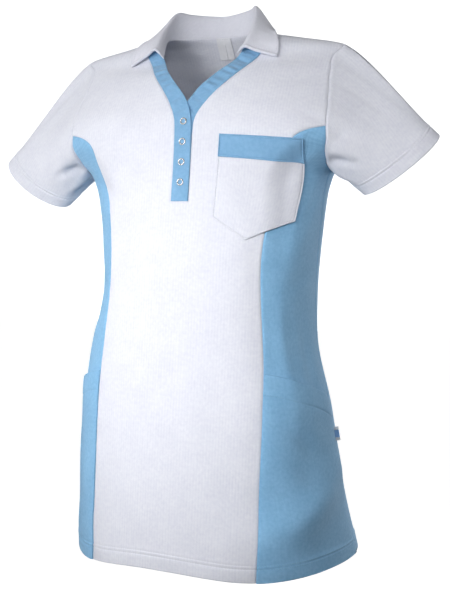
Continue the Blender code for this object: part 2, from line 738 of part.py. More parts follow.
def collar_rail(column):
    """One of the collar's three lines, from its left front end round the back to the right."""
    half = np.array([row[column] for row in COLLAR], float)
    whole = np.vstack([half, half[-2::-1] * (-1, 1, 1)])
    knots = np.arange(len(whole))
    at = np.linspace(0, len(whole) - 1, 2 * COLLAR_STATIONS + 1)
    return np.stack([smooth_at(knots, whole[:, k], at) for k in range(3)], -1)


def clear_of_torso(points, lift):
    """Points moved out to lie at least this far above the torso."""
    for _ in range(4):
        out = form_normal(points)
        slope = (form_level(points + out) - form_level(points - out)) / 2
        short = np.clip(lift - form_level(points) / slope, 0, None)
        points = points + out * short[..., None]
    return points


def collar():
    """White collar: a stand round the neck, rolled over into its leaf."""
    seam, fold, edge = (collar_rail(column) for column in range(3))
    rise = unit(fold - seam)
    fall = unit(edge - fold)
    out = unit(fall - rise * np.sum(fall * rise, axis=1, keepdims=True))
    lines = np.stack([seam, fold, edge, rise * COLLAR_ROLL, fall * COLLAR_ROLL, out * COLLAR_ROLL])
    grid = np.einsum("sk,kij->sij", np.array(COLLAR_SECTION), lines)
    grid[LEAF_FIRST:] = clear_of_torso(grid[LEAF_FIRST:], LEAF_LIFT)
    along = np.gradient(grid, axis=1)
    up = np.gradient(grid, axis=0)
    outward = unit(np.cross(up, along))
    layer = Layer()
    layer.add(grid, outward, flip=True)
    wall("collar", layer, COLLAR_CLOTH, "white_pique")


def chest_patch(top, foot, rows):
    """A patch on the chest between two lines of points given as breadth and height."""
    v = np.linspace(0, 1, rows + 1)[:, None, None]
    flat = foot[None] * (1 - v) + top[None] * v
    return np.stack([angle_at_breadth(flat[..., 0], flat[..., 1]), flat[..., 1]], -1)


def chest_pocket():
    """Pointed white pocket with a blue band along its mouth."""
    at = {name: np.array(place, float) for name, place in CHEST_POCKET.items()}
    mouth = np.linspace(at["top_inner"], at["top_outer"], 2 * POCKET_HALF_COLUMNS + 1)
    joint = np.linspace(at["band_inner"], at["band_outer"], 2 * POCKET_HALF_COLUMNS + 1)
    falling = np.linspace(at["foot_inner"], at["foot_point"], POCKET_HALF_COLUMNS + 1)
    rising = np.linspace(at["foot_point"], at["foot_outer"], POCKET_HALF_COLUMNS + 1)
    foot = np.vstack([falling[:-1], rising])
    pieces = (
        ("chest_pocket", chest_patch(joint, foot, CHEST_POCKET_ROWS), "white_pique"),
        ("chest_pocket_band", chest_patch(mouth, joint, CHEST_BAND_ROWS), "blue_pique"),
    )
    for name, grid, colour in pieces:
        lift = np.linspace(*CHEST_POCKET_CLEAR, grid.shape[1]) + POCKET_CLOTH
        points, outward = lifted(grid, np.broadcast_to(lift, grid.shape[:2]))
        layer = Layer()
        layer.add(points, outward)
        wall(name, layer, POCKET_CLOTH, colour)


def side_pocket_grid(at, side):
    """Angles and heights of a side pocket, and how far its cloth stands out."""
    panel = side_front_grid(at)
    share = np.linspace(0, 1, panel.shape[1])
    mouth = smooth_at([row[0] for row in SIDE_POCKET_MOUTH],
                      [row[1] for row in SIDE_POCKET_MOUTH], share) + SIDE_POCKET_DROP[side]
    below = int(np.sum(panel[..., 1].max(axis=1) < mouth.min() - MOUTH_CLEAR))
    rows = list(panel[:below])
    for rise in np.linspace(0, 1, MOUTH_ROWS + 1)[1:]:
        height = panel[below - 1, :, 1] * (1 - rise) + mouth * rise
        angle = [np.interp(z, line[:, 1], line[:, 0])
                 for z, line in zip(height, panel.swapaxes(0, 1))]
        rows.append(np.stack([angle, height], -1))
    grid = np.array(rows)
    near = np.clip(1 - (mouth - grid[..., 1]) / SIDE_POCKET_GAPE_LONG, 0, 1)
    gape = SIDE_POCKET_GAPE * np.sin(np.pi * share) * near**2 * (3 - 2 * near)
    return grid, SIDE_POCKET_CLEAR + POCKET_CLOTH + gape


def side_pockets(seams):
    """Blue patch pockets from the slanted mouth down to the hem."""
    for side, word in SIDES.items():
        points, outward = lifted(*side_pocket_grid(seams[side], side))
        layer = Layer()
        layer.add(points, outward, flip=side < 0)
        wall(f"side_pocket_{word}", layer, POCKET_CLOTH, "blue_pique",
             gap=2 * SIDE_POCKET_INSET)


def pocket_tab():
    """Folded cloth tab that stands out of the side seam by the left pocket."""
    heights = np.linspace(TAB_HEIGHTS[1], TAB_HEIGHTS[0], TAB_ROWS + 1)
    angle = read(SIDE_SEAM, heights) + TAB_TURN
    points, outward = torso(angle, heights)
    reach = np.linspace(SEAM_GAP, TAB_REACH, TAB_COLUMNS + 1)
    grid = points[:, None] + outward[:, None] * reach[None, :, None]
    layer = Layer()
    layer.add(grid, np.broadcast_to(np.array([0.0, -1.0, 0.0]), grid.shape))
    wall("pocket_tab", layer, LABEL_CLOTH, "tab_cloth", gap=0.0)


def neck_label():
    """Blank loop label that hangs inside the back from the neck seam."""
    breadth = np.linspace(-LABEL_HALF, LABEL_HALF, LABEL_COLUMNS + 1)
    height = np.linspace(LABEL_TOP - LABEL_LONG, LABEL_TOP, LABEL_ROWS + 1)
    breadth, height = np.meshgrid(breadth, height)
    points, outward = torso(angle_at_breadth(breadth, height, back=True), height)
    layer = Layer()
    layer.add(points - outward * (CLOTH + LABEL_CLEAR), outward, flip=True)
    wall("neck_label", layer, LABEL_CLOTH, "label_white", gap=0.0)


def snaps():
    """Open metal rings of the closed snap fasteners, down the upper band."""
    for number, height in enumerate(SNAP_HEIGHTS, start=1):
        point, outward = torso(np.array(0.0), np.array(height))
        seat = point + outward * (TOP_BAND_LIFT + SEAM_GAP + SNAP_WIRE)
        tilt = math.atan2(-outward[1], outward[2])
        bpy.ops.mesh.primitive_torus_add(
            major_segments=SNAP_SEGMENTS, minor_segments=SNAP_FACETS,
            major_radius=SNAP_RING * MM, minor_radius=SNAP_WIRE * MM,
            location=tuple(seat * MM), rotation=(tilt, 0, 0))
        ring = bpy.context.object
        ring.name = f"snap_{number}"
        ring.data.name = ring.name
        ring.data.shade_smooth()
        ring.data.materials.append(material("snap_metal"))
        for holder in list(ring.users_collection):
            holder.objects.unlink(ring)
        shirt_collection().objects.link(ring)


def build():
    """Make the whole shirt."""
    start_empty()
    seams = {side: seam_paths(side) for side in SIDES}
    mitres = sleeves(seams)
    front_panel(seams, mitres)
    back_panel(seams, mitres)
    side_panels(seams, mitres)
    front_bands()
    collar()
    chest_pocket()
    side_pockets(seams)
    pocket_tab()
    neck_label()
    snaps()


build()
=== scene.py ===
"""Looks of a women's tunic polo shirt: fine knit shells, creases, sewing, finishes and light.

Sizes are in millimetres and repeat those that the solids were built from.  A point of the
torso is named by an angle round the body, 0 at centre front, 90 at the wearer's left and 180
at centre back, and by its height.
"""

import math

import bpy
import numpy as np
from mathutils import Matrix, Vector


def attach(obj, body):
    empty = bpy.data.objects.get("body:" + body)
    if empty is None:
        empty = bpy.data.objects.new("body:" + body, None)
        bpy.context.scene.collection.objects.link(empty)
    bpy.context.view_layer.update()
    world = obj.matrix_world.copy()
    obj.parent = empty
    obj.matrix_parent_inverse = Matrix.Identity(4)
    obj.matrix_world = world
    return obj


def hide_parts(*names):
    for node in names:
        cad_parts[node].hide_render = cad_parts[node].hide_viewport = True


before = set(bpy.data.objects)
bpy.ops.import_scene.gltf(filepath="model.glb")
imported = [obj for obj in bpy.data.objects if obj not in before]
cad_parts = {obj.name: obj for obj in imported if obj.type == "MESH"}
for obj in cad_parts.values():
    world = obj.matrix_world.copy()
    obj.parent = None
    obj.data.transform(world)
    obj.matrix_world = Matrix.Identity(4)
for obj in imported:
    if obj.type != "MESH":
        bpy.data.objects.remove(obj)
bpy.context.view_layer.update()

MM = 0.001
PATH_SAMPLES = 1200        # along a seam or an edge before it is cut into steps
CROSS_SAMPLES = 60         # across a band before it is cut into steps
SIDES = {1: "left", -1: "right"}
WELD = 1000                # points that agree to a thousandth are one point of the cloth

# Thickness of each cloth
KNIT = 1.3
BAND = 1.5
POCKET = 1.2
STAND = 1.5
LEAF = 1.9
LABEL = 0.6

# Sizes of the sewing
HEM_STITCHES = (19.0, 24.0)        # above the lower edge
SLEEVE_STITCHES = (17.5, 22.0)     # above the sleeve's edge
BAND_STITCH = 1.9                  # in from a front band's edge
LEAF_STITCH = 5.5                  # in from the collar leaf's edge
LEAF_STITCH_FROM = 0.62            # share of the collar's rows at which its end seams start
POCKET_STITCH = 2.2                # in from a patch pocket's edge
STITCH_LONG = 2.7
STITCH_APART = 0.9
THREAD = 0.23                      # half its thickness
THREAD_SIDES = 6
STITCH_SECTIONS = (
    # place along the stitch, share of the thread's thickness, height above the cloth
    (-0.5, 0.35, -0.25), (-0.3, 1.0, 0.02), (0.3, 1.0, 0.02), (0.5, 0.35, -0.25),
)
HEM_FOLD = 25.0                    # height of the turned hem inside
HEM_FOLD_STEP = 1.2                # height over which it ends
HEM_EXTRA = 1.0                    # thickness that it adds
SLEEVE_FOLD = (23.0, 24.0)         # heights between which the sleeve's turned hem ends
SLEEVE_HEM_EXTRA = 0.9
RIM_TURNS = np.radians([45, 90, 135])      # points that round an edge of the cloth
RIM_BLUNT = 0.6                    # keeps the rim of a sharp corner short

# Ridges and grooves that sewing leaves: height, distance from the line, width
SEAM_RIDGES = ((-0.55, 0, 1.9), (0.22, 4.5, 2.2))
STITCH_RIDGES = ((-0.75, 0, 0.9), (0.2, 2, 1))
BAND_RIDGES = ((-0.22, BAND_STITCH, 0.8), (0.12, 5, 3))
LEAF_RIDGES = ((0.6, 0, 3.0), (-0.35, LEAF_STITCH, 1.0))
POCKET_RIDGES = ((0.45, 0.5, 0.8), (-0.85, POCKET_STITCH, 0.75))
SLEEVE_HEAD = ((0.3, 4, 3),)
UNDERARM_SEAM = ((-0.4, 0, 1.6),)

# Ripples along a line: pitch of the main one, how far it wanders and over what length, then
# share, pitch and shift of each slighter one; a pitch is a wave's length over two pi
HEM_RIPPLES = (6.1, 1.3, 31, (0.6, 13.7, 2))
SEAM_RIPPLES = (2.3, 2.1, 17, (0.5, 5.3, 1))
BAND_RIPPLES = (2.3, 1.6, 16, (0.5, 1.5, 1.0), (0.9, 5.6, 0.4))
HEM_RISE = 0.7                     # of the doubled cloth
HEM_STEP = 2.2                     # height over which it rises
HEM_RIPPLE = 0.16
HEM_RIPPLE_RISE = 2                # above the lower line of stitches
HEM_RIPPLE_REACH = 12
SEAM_PUCKER = 0.10
PUCKER_REACH = 5.0
UNDULATION = 0.35                  # unevenness of the hanging cloth

# Distances along a line, from a seam and from a hem, that the cloth's rows and columns take
SEAM_RUNGS = (0, 1.5, 3.0)
HEM_RUNGS = (0, 1.4, 3.0, 6.5, 10.5, 14.5, 17.4, 18.4, 19.0, 19.6, 20.6, 22.5, 23.4, 24.0,
             24.6, 25.6, 28.0, 31.0)
SLEEVE_HEM_RUNGS = (0, 1.4, 3.0, 6.5, 10.5, 14.0, 16.0, 16.9, 17.5, 18.1, 19.2, 20.6, 21.4,
                    22.0, 22.6, 23.8, 26.5, 30.0)
PLAIN = (0,)

# The torso at each height: half widths, and where its side, front and back lie
FORM = (
    # height, half_left, half_right, side_y, front_y, back_y, power
    (8, 60, 60, 8.0, -16, 54, 1.9),
    (0, 71, 71, 7.0, -20, 56, 1.7),
    (-12, 131, 131, 8.0, -26, 64, 1.45),
    (-25, 196, 196, 9.0, -30, 73, 1.35),
    (-40, 219, 219, 8.5, -33, 81, 1.35),
    (-60, 231, 231, 7.5, -54, 91, 1.4),
    (-80, 237, 237, 6.0, -66, 97, 1.55),
    (-100, 238, 238, 4.5, -73, 101, 1.9),
    (-130, 238, 238, 3.0, -83.5, 105, 2.5),
    (-145, 234, 234, 2.0, -86, 106, 2.75),
    (-160, 225, 225, 1.5, -88, 107, 2.8),
    (-180, 206, 206, 1.0, -90.5, 107.5, 2.55),
    (-200, 187.5, 187, 1.0, -93, 107.5, 2.35),
    (-220, 179.5, 177, 1.5, -96, 107, 2.3),
    (-260, 172.5, 166.5, 2.0, -101.5, 104, 2.35),
    (-320, 164.5, 156.5, 2.0, -112, 99, 2.45),
    (-380, 162.5, 158.5, -3.0, -118, 94, 2.4),
    (-440, 167, 174.5, -10.0, -124, 92, 2.25),
    (-520, 184.5, 186.5, -13.0, -133, 104, 2.25),
    (-600, 195.5, 194, -8.0, -141, 122, 2.25),
    (-680, 206, 198, 2.0, -148, 143, 2.25),
    (-745, 218.5, 200, 10.0, -154, 163, 2.25),
)
HEM_HEIGHT = -745.0
SLIT_FOOT = -243.0         # foot of the opening
PLACKET_HALF = 13.0        # half its width there
SHOULDER_TIP = -25.0
BACK_NECK_RISE = 4.0       # of the back's neckline at centre back
FRONT_PRINCESS = (
    # height, breadth
    (-144, 197.5), (-146, 186), (-150, 172), (-157, 159), (-166, 152), (-185, 148.5),
    (-205, 144), (-224, 138.5), (-245, 129), (-270, 122.5), (-300, 118.5), (-340, 117),
    (-380, 118.4), (-430, 121.6), (-480, 125.4), (-530, 127), (-640, 127), (-745, 127.7),
)
BACK_PRINCESS = (
    # height, breadth
    (-138, 197.5), (-141, 186), (-147, 170), (-157, 155), (-180, 143), (-220, 132),
    (-280, 118), (-340, 112), (-400, 112), (-480, 118), (-560, 122), (-745, 126),
)
SIDE_SEAM = (
    # height, angle
    (-200, 88), (-300, 91), (-420, 95), (-520, 96), (-745, 95),
)
ARMHOLE_FRONT = (
    # height, y
    (-25, 9.0), (-35, 1), (-50, -9), (-70, -20.5), (-90, -32), (-110, -44.5), (-130, -55.5),
    (-145, -59.5), (-160, -57.5), (-175, -49), (-187, -36), (-196, -19), (-200, 1.0),
)
ARMHOLE_BACK = (
    # height, y
    (-25, 9.0), (-35, 18), (-50, 29), (-70, 41), (-95, 52), (-120, 60), (-145, 63),
    (-165, 58), (-182, 46), (-193, 29), (-198, 14), (-200, 1.0),
)
HEM_DIPS = (
    # angle, how far the lower edge is below the level of its sides
    (-180, 0), (-120, 0), (-80, 1), (-45, 11), (-5, 1), (30, 7), (80, -3), (120, -1),
    (180, 0),
)
NECKLINE = (
    # height, breadth
    (0, 71), (-15, 67.5), (-25, 64.5), (-35, 60), (-45, 53.5), (-55, 44.7), (-65, 34.9),
    (-75, 24.8), (-85, 14.8),
)
BAND_SEAM = (
    # height, breadth on the wearer's left, breadth on the wearer's right
    (-5.5, 98, 98), (-25, 94, 91), (-40, 87, 82), (-50, 79, 73.5), (-60, 70.5, 65),
    (-70, 61, 56), (-80, 51, 46.5), (-90, 41, 38), (-100, 32.5, 30.3), (-110, 25, 24),
    (-120, 19, 18.5), (-130, 15.2, 15), (-145, 13.5, 13.4), (-165, 13, 13), (-243, 13, 13),
)
BAND_SEAM_COLUMN = {1: 1, -1: 2}
TOP_BAND_EDGE = (
    # height, breadth, past the middle where it is negative
    (-95, 6.1), (-100, 2.2), (-106, -1.5), (-115, -6), (-128, -10.2), (-140, -11.8),
    (-166, -12.7), (-243, -12.7),
)
UNDER_BAND_EDGE = (
    # height, breadth, past the middle where it is negative
    (-95, 6.1), (-102, 1), (-110, -4), (-125, -9), (-150, -10), (-243, -10),
)
TOP_BAND_LIFT = 1.1        # heights over the torso
NECK_BAND_LIFT = 0.6
UNDER_BAND_LIFT = -1.4
BAND_DIVE = (-78.0, -96.0)         # where the left band goes under the right one
WRINKLE_DEEP = {-1: 0.5, 1: 0.8}   # of the top band and of the under one
WRINKLE_SLANT = 0.55               # how much they climb across a band
WRINKLES_FROM = (95, 135)          # above the foot of the opening
BAND_BREAK_SEAM = -122.0   # where a band's seam turns towards the neck
BAND_BREAK_FREE = -98.0    # and where its free edge does

FOLD_ARC = 2.4             # millimetres of girth to a degree
FOLD_BLUNT = 0.12          # share of a fold's length at which it ends bluntly
FOLD_END = 1.5             # how far a fold runs on past its ends, in widths

# Large folds, as the solids have them, then the finer creases that only the cloth shows
FOLDS = (
    # angle_1, height_1, angle_2, height_2, half_width, depth
    (30, -735, 78, -655, 26, 3.5),
    (48, -640, 82, -560, 30, -2.5),
    (-70, -730, -30, -690, 26, 2.5),
    (-62, -210, -32, -255, 18, -2.4),
    (74, -250, 60, -345, 20, 2.2),
    (-74, -255, -62, -350, 20, 2.2),
    (12, -290, 20, -700, 34, -2.4),
    (-14, -300, -22, -700, 34, -2.0),
    (120, -735, 150, -560, 34, 4.0),
    (-118, -735, -148, -560, 34, 4.0),
    (172, -735, 176, -480, 36, -4.0),
    (142, -330, 218, -345, 24, -3.0),
    (128, -190, 152, -300, 22, 2.5),
    (-128, -190, -152, -300, 22, 2.5),
)
CREASES = (
    # angle_1, height_1, angle_2, height_2, half_width, depth
    (62, -158, 40, -126, 9, -1.5),
    (70, -176, 52, -148, 8, 1.0),
    (58, -205, 34, -238, 11, -0.9),
    (-60, -160, -38, -128, 9, -1.5),
    (-70, -180, -50, -152, 8, 1.0),
    (-58, -212, -34, -232, 11, -1.0),
    (82, -215, 66, -290, 9, -1.2),
    (-82, -215, -68, -290, 9, -1.2),
    (84, -330, 58, -372, 12, -1.1),
    (80, -392, 50, -420, 13, -0.9),
    (-86, -335, -60, -375, 12, -1.1),
    (-80, -395, -54, -425, 13, -0.9),
    (46, -455, 30, -560, 14, 0.9),
    (68, -600, 50, -690, 15, -1.4),
    (34, -590, 12, -650, 16, -0.8),
    (-28, -560, -8, -640, 16, -0.8),
    (20, -700, 44, -660, 12, 1.0),
    (-36, -420, -18, -470, 14, 0.7),
    (10, -262, 26, -300, 13, -0.7),
    (-10, -258, -24, -296, 13, -0.7),
    (100, -235, 118, -330, 11, -1.4),
    (112, -350, 146, -392, 13, -1.5),
    (150, -318, 205, -300, 12, -1.3),
    (152, -372, 212, -384, 12, 1.2),
    (-104, -240, -120, -335, 11, -1.4),
    (-112, -352, -146, -398, 13, -1.5),
    (122, -150, 150, -205, 12, -1.3),
    (-122, -152, -150, -210, 12, -1.3),
    (166, -95, 196, -100, 14, -0.8),
    (104, -560, 128, -470, 15, 1.4),
    (-104, -566, -126, -472, 15, 1.4),
    (158, -640, 150, -500, 16, 1.2),
    (-150, -650, -146, -520, 16, 1.2),
    (35, -128, 42, -292, 10, 1.7),
    (47, -140, 54, -300, 13, -3.2),
    (56, -375, 60, -530, 13, 3.0),
    (76, -380, 80, -540, 14, -2.4),
    (57, -556, 74, -592, 12, -3.6),
    (44, -598, 66, -640, 14, 3.4),
    (30, -706, 88, -622, 25, 11.0),
    (-34, -126, -42, -290, 12, 1.0),
    (-48, -145, -54, -300, 13, -1.2),
    (-146, -14, -172, -24, 6, -1.3),
    (-138, -42, -164, -66, 9, 1.3),
    (148, -26, 170, -64, 10, -1.2),
    (176, -52, 196, -78, 9, 0.9),
)

CUFFS = {
    # side: centre, to_top, to_front
    1: ((287, -10, -196), (51, -1, 37), (10, -26, -12)),
    -1: ((-287, -10, -210), (-51, -1, 36), (-9, -25, -12)),
}
SLEEVE_AXIS = (0.74, -0.04, -0.67)         # the way the left sleeve runs
SLEEVE_CAP = 0.6           # how much more its top than its side leaves square to the armhole
SLEEVE_CAP_BASE = 0.28     # how squarely its side leaves the armhole
SLEEVE_LEAVE = 0.57        # how straight it runs from the armhole
SLEEVE_ARRIVE = 0.9        # and how straight it comes to its lower edge
ARMHOLE_UPPER = 7          # steps of the solid's armhole above the princess seam
ARMHOLE_LOWER = {"front": 6, "back": 5}
SLEEVE_ARC = 0.95          # millimetres of the sleeve's girth to a degree, for its creases
SLEEVE_LONG = 120.0        # its length, for its creases
SLEEVE_FOLD_BLUNT = 0.15   # share of a crease's length at which it ends bluntly
SLEEVE_CREASES_FROM = 9    # distance from the armhole over which they start
SLEEVE_LIFT = 0.55         # fullness that the set-in sleeve has over its seam
SLEEVE_AWAY_SOFT = 6       # armhole points over which its way out is evened
SLEEVE_CREASES = (
    # turn_1, share_1, turn_2, share_2, half_width, depth; turn 90 faces front, 180 down
    (146, 0.02, 120, 0.46, 7, -7.0),
    (166, 0.05, 146, 0.66, 8, 3.2),
    (128, 0.02, 84, 0.30, 8, -1.8),
    (182, 0.02, 170, 0.50, 7, -5.0),
    (200, 0.04, 194, 0.60, 9, -1.8),
    (222, 0.03, 250, 0.40, 9, -2.0),
    (70, 0.25, 96, 0.75, 13, 0.9),
    (30, 0.10, 48, 0.62, 13, -0.8),
    (330, 0.10, 306, 0.70, 13, -0.9),
)

COLLAR = (
    # seam xyz, fold xyz, edge xyz
    ((57, -32, -36), (69.5, -36, -27), (115, -25, -44)),
    ((62, -17, -21), (70, -17, -4), (114, -14, -25)),
    ((67, 1, -4), (68, 4, 19), (100.5, 5, -3.5)),
    ((66, 22, 4), (60, 24, 39.5), (92, 29, 1)),
    ((48, 40, 5.5), (46, 41, 39.5), (73, 54, -8)),
    ((24, 52, 6), (23.5, 53, 38), (38, 68, -16)),
    ((0, 56, 6), (0, 57.5, 36.5), (0, 73, -18)),
)
COLLAR_ROLL = 5.2                  # half the thickness of the rolled fold
COLLAR_TUCK = (4.2, 3.2)           # how far the stand's foot goes down and in at the back
COLLAR_RIGHT_RISE = (2.0, 5.0)     # its right front end rolls over a little higher
LEAF_LIFT = 3.1                    # least height of the leaf over the torso
COLLAR_SECTION = (
    # shares of seam, fold and edge, then steps up the stand, down the leaf and out, in rolls
    (1.0, 0.0, 0.0, 0.0, 0.0, 0.0),
    (0.55, 0.45, 0.0, 0.0, 0.0, 0.0),
    (0.0, 1.0, 0.0, -2.2, 0.0, -0.1),
    (0.0, 1.0, 0.0, -0.7, 0.0, 0.0),
    (0.0, 1.0, 0.0, 0.3, -0.1, 0.5),
    (0.0, 1.0, 0.0, 0.0, 1.4, 0.9),
    (0.0, 0.75, 0.25, 0.0, 0.0, 0.9),
    (0.0, 0.45, 0.55, 0.0, 0.0, 0.5),
    (0.0, 0.0, 1.0, 0.0, 0.0, 0.0),
)
LEAF_FIRST = 5                     # first row of the section that belongs to the leaf
COLLAR_LEAF = (0.55, 0.7)          # shares of its rows between which the leaf begins
END_BEAD_FROM = (0.25, 0.4)        # and between which the bead of its front ends begins
END_BEAD_WIDE = 3.2                # the bead that the turned front ends make
END_BEAD_THICK = 3.4
END_BEAD_LIFT = 1.6
LEAF_BEAD_WIDE = 3.0               # the bead along the leaf's edge
LEAF_BEAD_THICK = 0.6
LEAF_WAVE = 0.35
COLLAR_STATIONS = 80       # steps from a front end to centre back
COLLAR_ROWS = 46
COLLAR_SOFT = 4            # rows over which its fold is rounded
COLLAR_COLUMNS = [0, *range(2, 2 * COLLAR_STATIONS - 1), 2 * COLLAR_STATIONS]

CHEST_POCKET = {
    "top_inner": (55, -152), "top_outer": (170, -161),
    "band_inner": (54, -183), "band_outer": (166, -193),
    "foot_inner": (50, -265), "foot_point": (97, -296), "foot_outer": (152, -271),
}
CHEST_POCKET_HALF = 57             # half its width
CHEST_POCKET_CLEAR = (0.7, 1.7)    # off the front, at its inner and its outer edge
POCKET_CROWN = 0.9                 # how far its middle stands out
POCKET_PUCKER = 0.1
POCKET_BAND_WAVE = 0.3
POCKET_RUNGS = (0, 0.6, 1.2, 1.7, 2.2, 2.7, 3.2, 4.0, 5.4)
SIDE_POCKET_MOUTH = (
    # share of the way from princess seam to side seam, height
    (0.0, -475), (0.15, -479), (0.45, -491), (0.8, -508), (1.0, -521),
)
SIDE_POCKET_DROP = {1: 0.0, -1: -9.0}      # of the mouth on each side
SIDE_POCKET_GAPE = 3.0             # how far the mouth stands open
SIDE_POCKET_GAPE_LONG = 70.0       # height over which it closes
SIDE_POCKET_CLEAR = (0.25, 0.8)    # off the side front, at its edges and inside them
SIDE_POCKET_SEAM = 0.7             # how much of a seam's relief its edges have
MOUTH_CLEAR = 42.0                 # height below the mouth that its own rows take
MOUTH_RUNGS = (33.0, 30.0, 28.6, 27.8, 27.0, 26.2, 25.4, 24.0, 20.0, 14.0, 8.0, 3.0, 1.5, 0.0)
MOUTH_HEM = 27.0                   # height of the mouth's turned hem
MOUTH_RISE = 0.3                   # of the doubled cloth
MOUTH_RIDGES = ((-1.0, MOUTH_HEM, 1.2),)
TAB_HEIGHTS = (-561.0, -581.0)
TAB_TURN = 0.6                     # degrees from the side seam
TAB_REACH = 7.0                    # how far it stands out
TAB_FOLD = 0.5                     # thickness that its fold adds
TAB_BLUE_HALF = (5.0, 5.8)         # where its blue middle ends
LABEL_HALF = 12.0
LABEL_LONG = 28.0
LABEL_TOP = 3.0
LABEL_CLEAR = 1.3                  # off the back's inner face
LABEL_FOLD = 0.5                   # thickness that its fold adds
SNAP_HEIGHTS = (-133.0, -161.0, -189.0, -217.0)
SNAP_PROFILE = (
    # radius and height of the ring's section
    (3.05, -0.55), (3.1, 0.05), (3.45, 0.42), (4.1, 0.62), (4.75, 0.5), (5.1, 0.12),
    (5.15, -0.45), (4.2, -0.6),
)
SNAP_STEPS = 60
SNAP_PRONGS = 5
SNAP_DENT = 0.14           # over each prong
SNAP_SEAT = 0.75           # above the cloth of the top band

# The table of distances round the body
GIRTH_FINE = 2             # columns to a degree
GIRTH_ROWS = 170
GIRTH_SPAN = (HEM_HEIGHT - 15, 8)

# Steps of the fine grids
SEAM_STEPS = 180
UPPER_STEPS = 36
FRONT_STEPS = 44
BACK_STEPS = 48
SIDE_FRONT_STEPS = 30
SIDE_BACK_STEPS = 26
NECK_STEPS = 24
BAND_STEPS = 230
BAND_COLUMNS = 14
SLEEVE_STEPS = 40
SLEEVE_SAMPLES = 120       # along the sleeve before it is cut into steps
SLIT_COLUMNS = 6           # between centre front and the placket's side, below its foot
BAND_SEAM_RUN = 300.0      # length of a band's seam, for sharing out the front's rows
CHEST_POCKET_STEPS = 18
MOUTH_STEPS = 12           # between the panel's rows and those that follow the mouth
TAB_GRID = (19, 9)
LABEL_GRID = (39, 33)
RUNGS_SHARE = 0.7          # most of a short line that its fixed rungs may take
CLEAR_ROUNDS = 4           # in which the collar's leaf is moved clear of the torso

# Finishes
COURSE_STEEP = 1.15        # how steeply the knit's courses cross its wales
KNIT_RELIEF = 0.0003       # metres

CAMERA = {
    "place": (624.4, -1363.9, -276.0),
    "heading": 23.72,          # degrees from straight ahead towards the wearer's right
    "pitch": -3.97,
    "lens": 62.07,
    "sensor": 36,
    "far": 100,                # metres
}

LAMP_TARGET = (0, 0, -0.42)        # metres
LAMP_SIZE = (0.6, 0.7)
LAMPS = (
    # degrees round from the front towards image left, rise, distance, power, spread
    (10, 8, 1.2, 0.9, 40), (25, 18, 1.5, 5.3, 180), (60, 15, 1.5, 4.2, 180),
    (60, 15, 1.5, 0.9, 60), (60, 40, 1.5, 1.9, 180), (90, 10, 1.5, 0.3, 180),
    (-30, 20, 1.5, 3.7, 180), (-60, 35, 1.5, 2.7, 180), (0, 60, 1.5, 0.2, 180),
    (140, 10, 1.8, 12.5, 180), (180, 10, 1.8, 12.5, 180), (-140, 10, 1.8, 12.5, 180),
)
FLOOR_HEIGHT = -1400.0
FLOOR_REACH = 9000.0
FLOOR_GRAIN = 3.0
FLOOR_BASE = (0.27, 0.27, 0.28, 1)
WORLD_TINT = (0.97, 0.98, 1.0, 1)
DIM_WORLD = 0.015          # light of the surroundings on the shirt
SEEN_WORLD = 1.3           # light in which the camera sees them


def unit(vectors):
    """Each vector at length one."""
    return vectors / np.maximum(np.linalg.norm(vectors, axis=-1, keepdims=True), 1e-12)


def nearest(values, target):
    """The number of the value that lies nearest to a target."""
    return int(np.argmin(np.abs(np.asarray(values) - target)))


def read_along(where, at, values):
    """Rows of values that belong to places along a line, read at other places."""
    return np.stack([np.interp(where, at, column) for column in values.T], -1)


def cubic(t, start, leave, end, arrive):
    """A smooth way between two values, with its rates at the start and at the end."""
    return ((2 * t**3 - 3 * t**2 + 1) * start + (t**3 - 2 * t**2 + t) * leave
            + (3 * t**2 - 2 * t**3) * end + (t**3 - t**2) * arrive)


def smooth_at(keys, values, at):
    """A smooth curve through a table's values, read at other keys."""
    order = np.argsort(keys)
    keys = np.asarray(keys, float)[order]
    values = np.asarray(values, float)[order]
    at = np.clip(np.asarray(at, float), keys[0], keys[-1])
    step = np.diff(keys)
    slope = np.diff(values) / step
    lean = np.empty_like(values)
    lean[0], lean[-1] = slope[0], slope[-1]
    lean[1:-1] = (slope[:-1] * step[1:] + slope[1:] * step[:-1]) / (step[:-1] + step[1:])
    i = np.clip(np.searchsorted(keys, at) - 1, 0, len(step) - 1)
    t = (at - keys[i]) / step[i]
    return cubic(t, values[i], step[i] * lean[i], values[i + 1], step[i] * lean[i + 1])


def ease(value, low, high):
    """Smooth step from 0 at low to 1 at high."""
    t = np.clip((np.asarray(value, float) - low) / (high - low), 0, 1)
    return t * t * (3 - 2 * t)


def bell(value, wide):
    """One at zero, falling off over a width."""
    return np.exp(-(np.asarray(value, float) / wide) ** 2)


def ridges(distance, rows):
    """Low ridges and grooves, each with its height, distance from a line and width."""
    return sum(high * bell(distance - place, wide) for high, place, wide in rows)


def ripples(at, pitch, wander, wander_pitch, *others):
    """Uneven ripples along a line: a main one that wanders, and slighter ones."""
    main = np.sin(at / pitch + wander * np.sin(at / wander_pitch))
    return main + sum(part * np.sin(at / length + shift) for part, length, shift in others)


def read(table, at, column=1):
    """One column of a table, read at values of its first column."""
    return smooth_at([row[0] for row in table], [row[column] for row in table], at)


def apart(grid):
    """The angles and the heights of a path or a grid."""
    return grid[..., 0], grid[..., 1]


def form_sizes(height, sign):
    """Half width on one side, side, front and back places and the power of a slice."""
    half = np.where(np.asarray(sign) >= 0, read(FORM, height, 1), read(FORM, height, 2))
    return [half] + [read(FORM, height, column) for column in range(3, 7)]


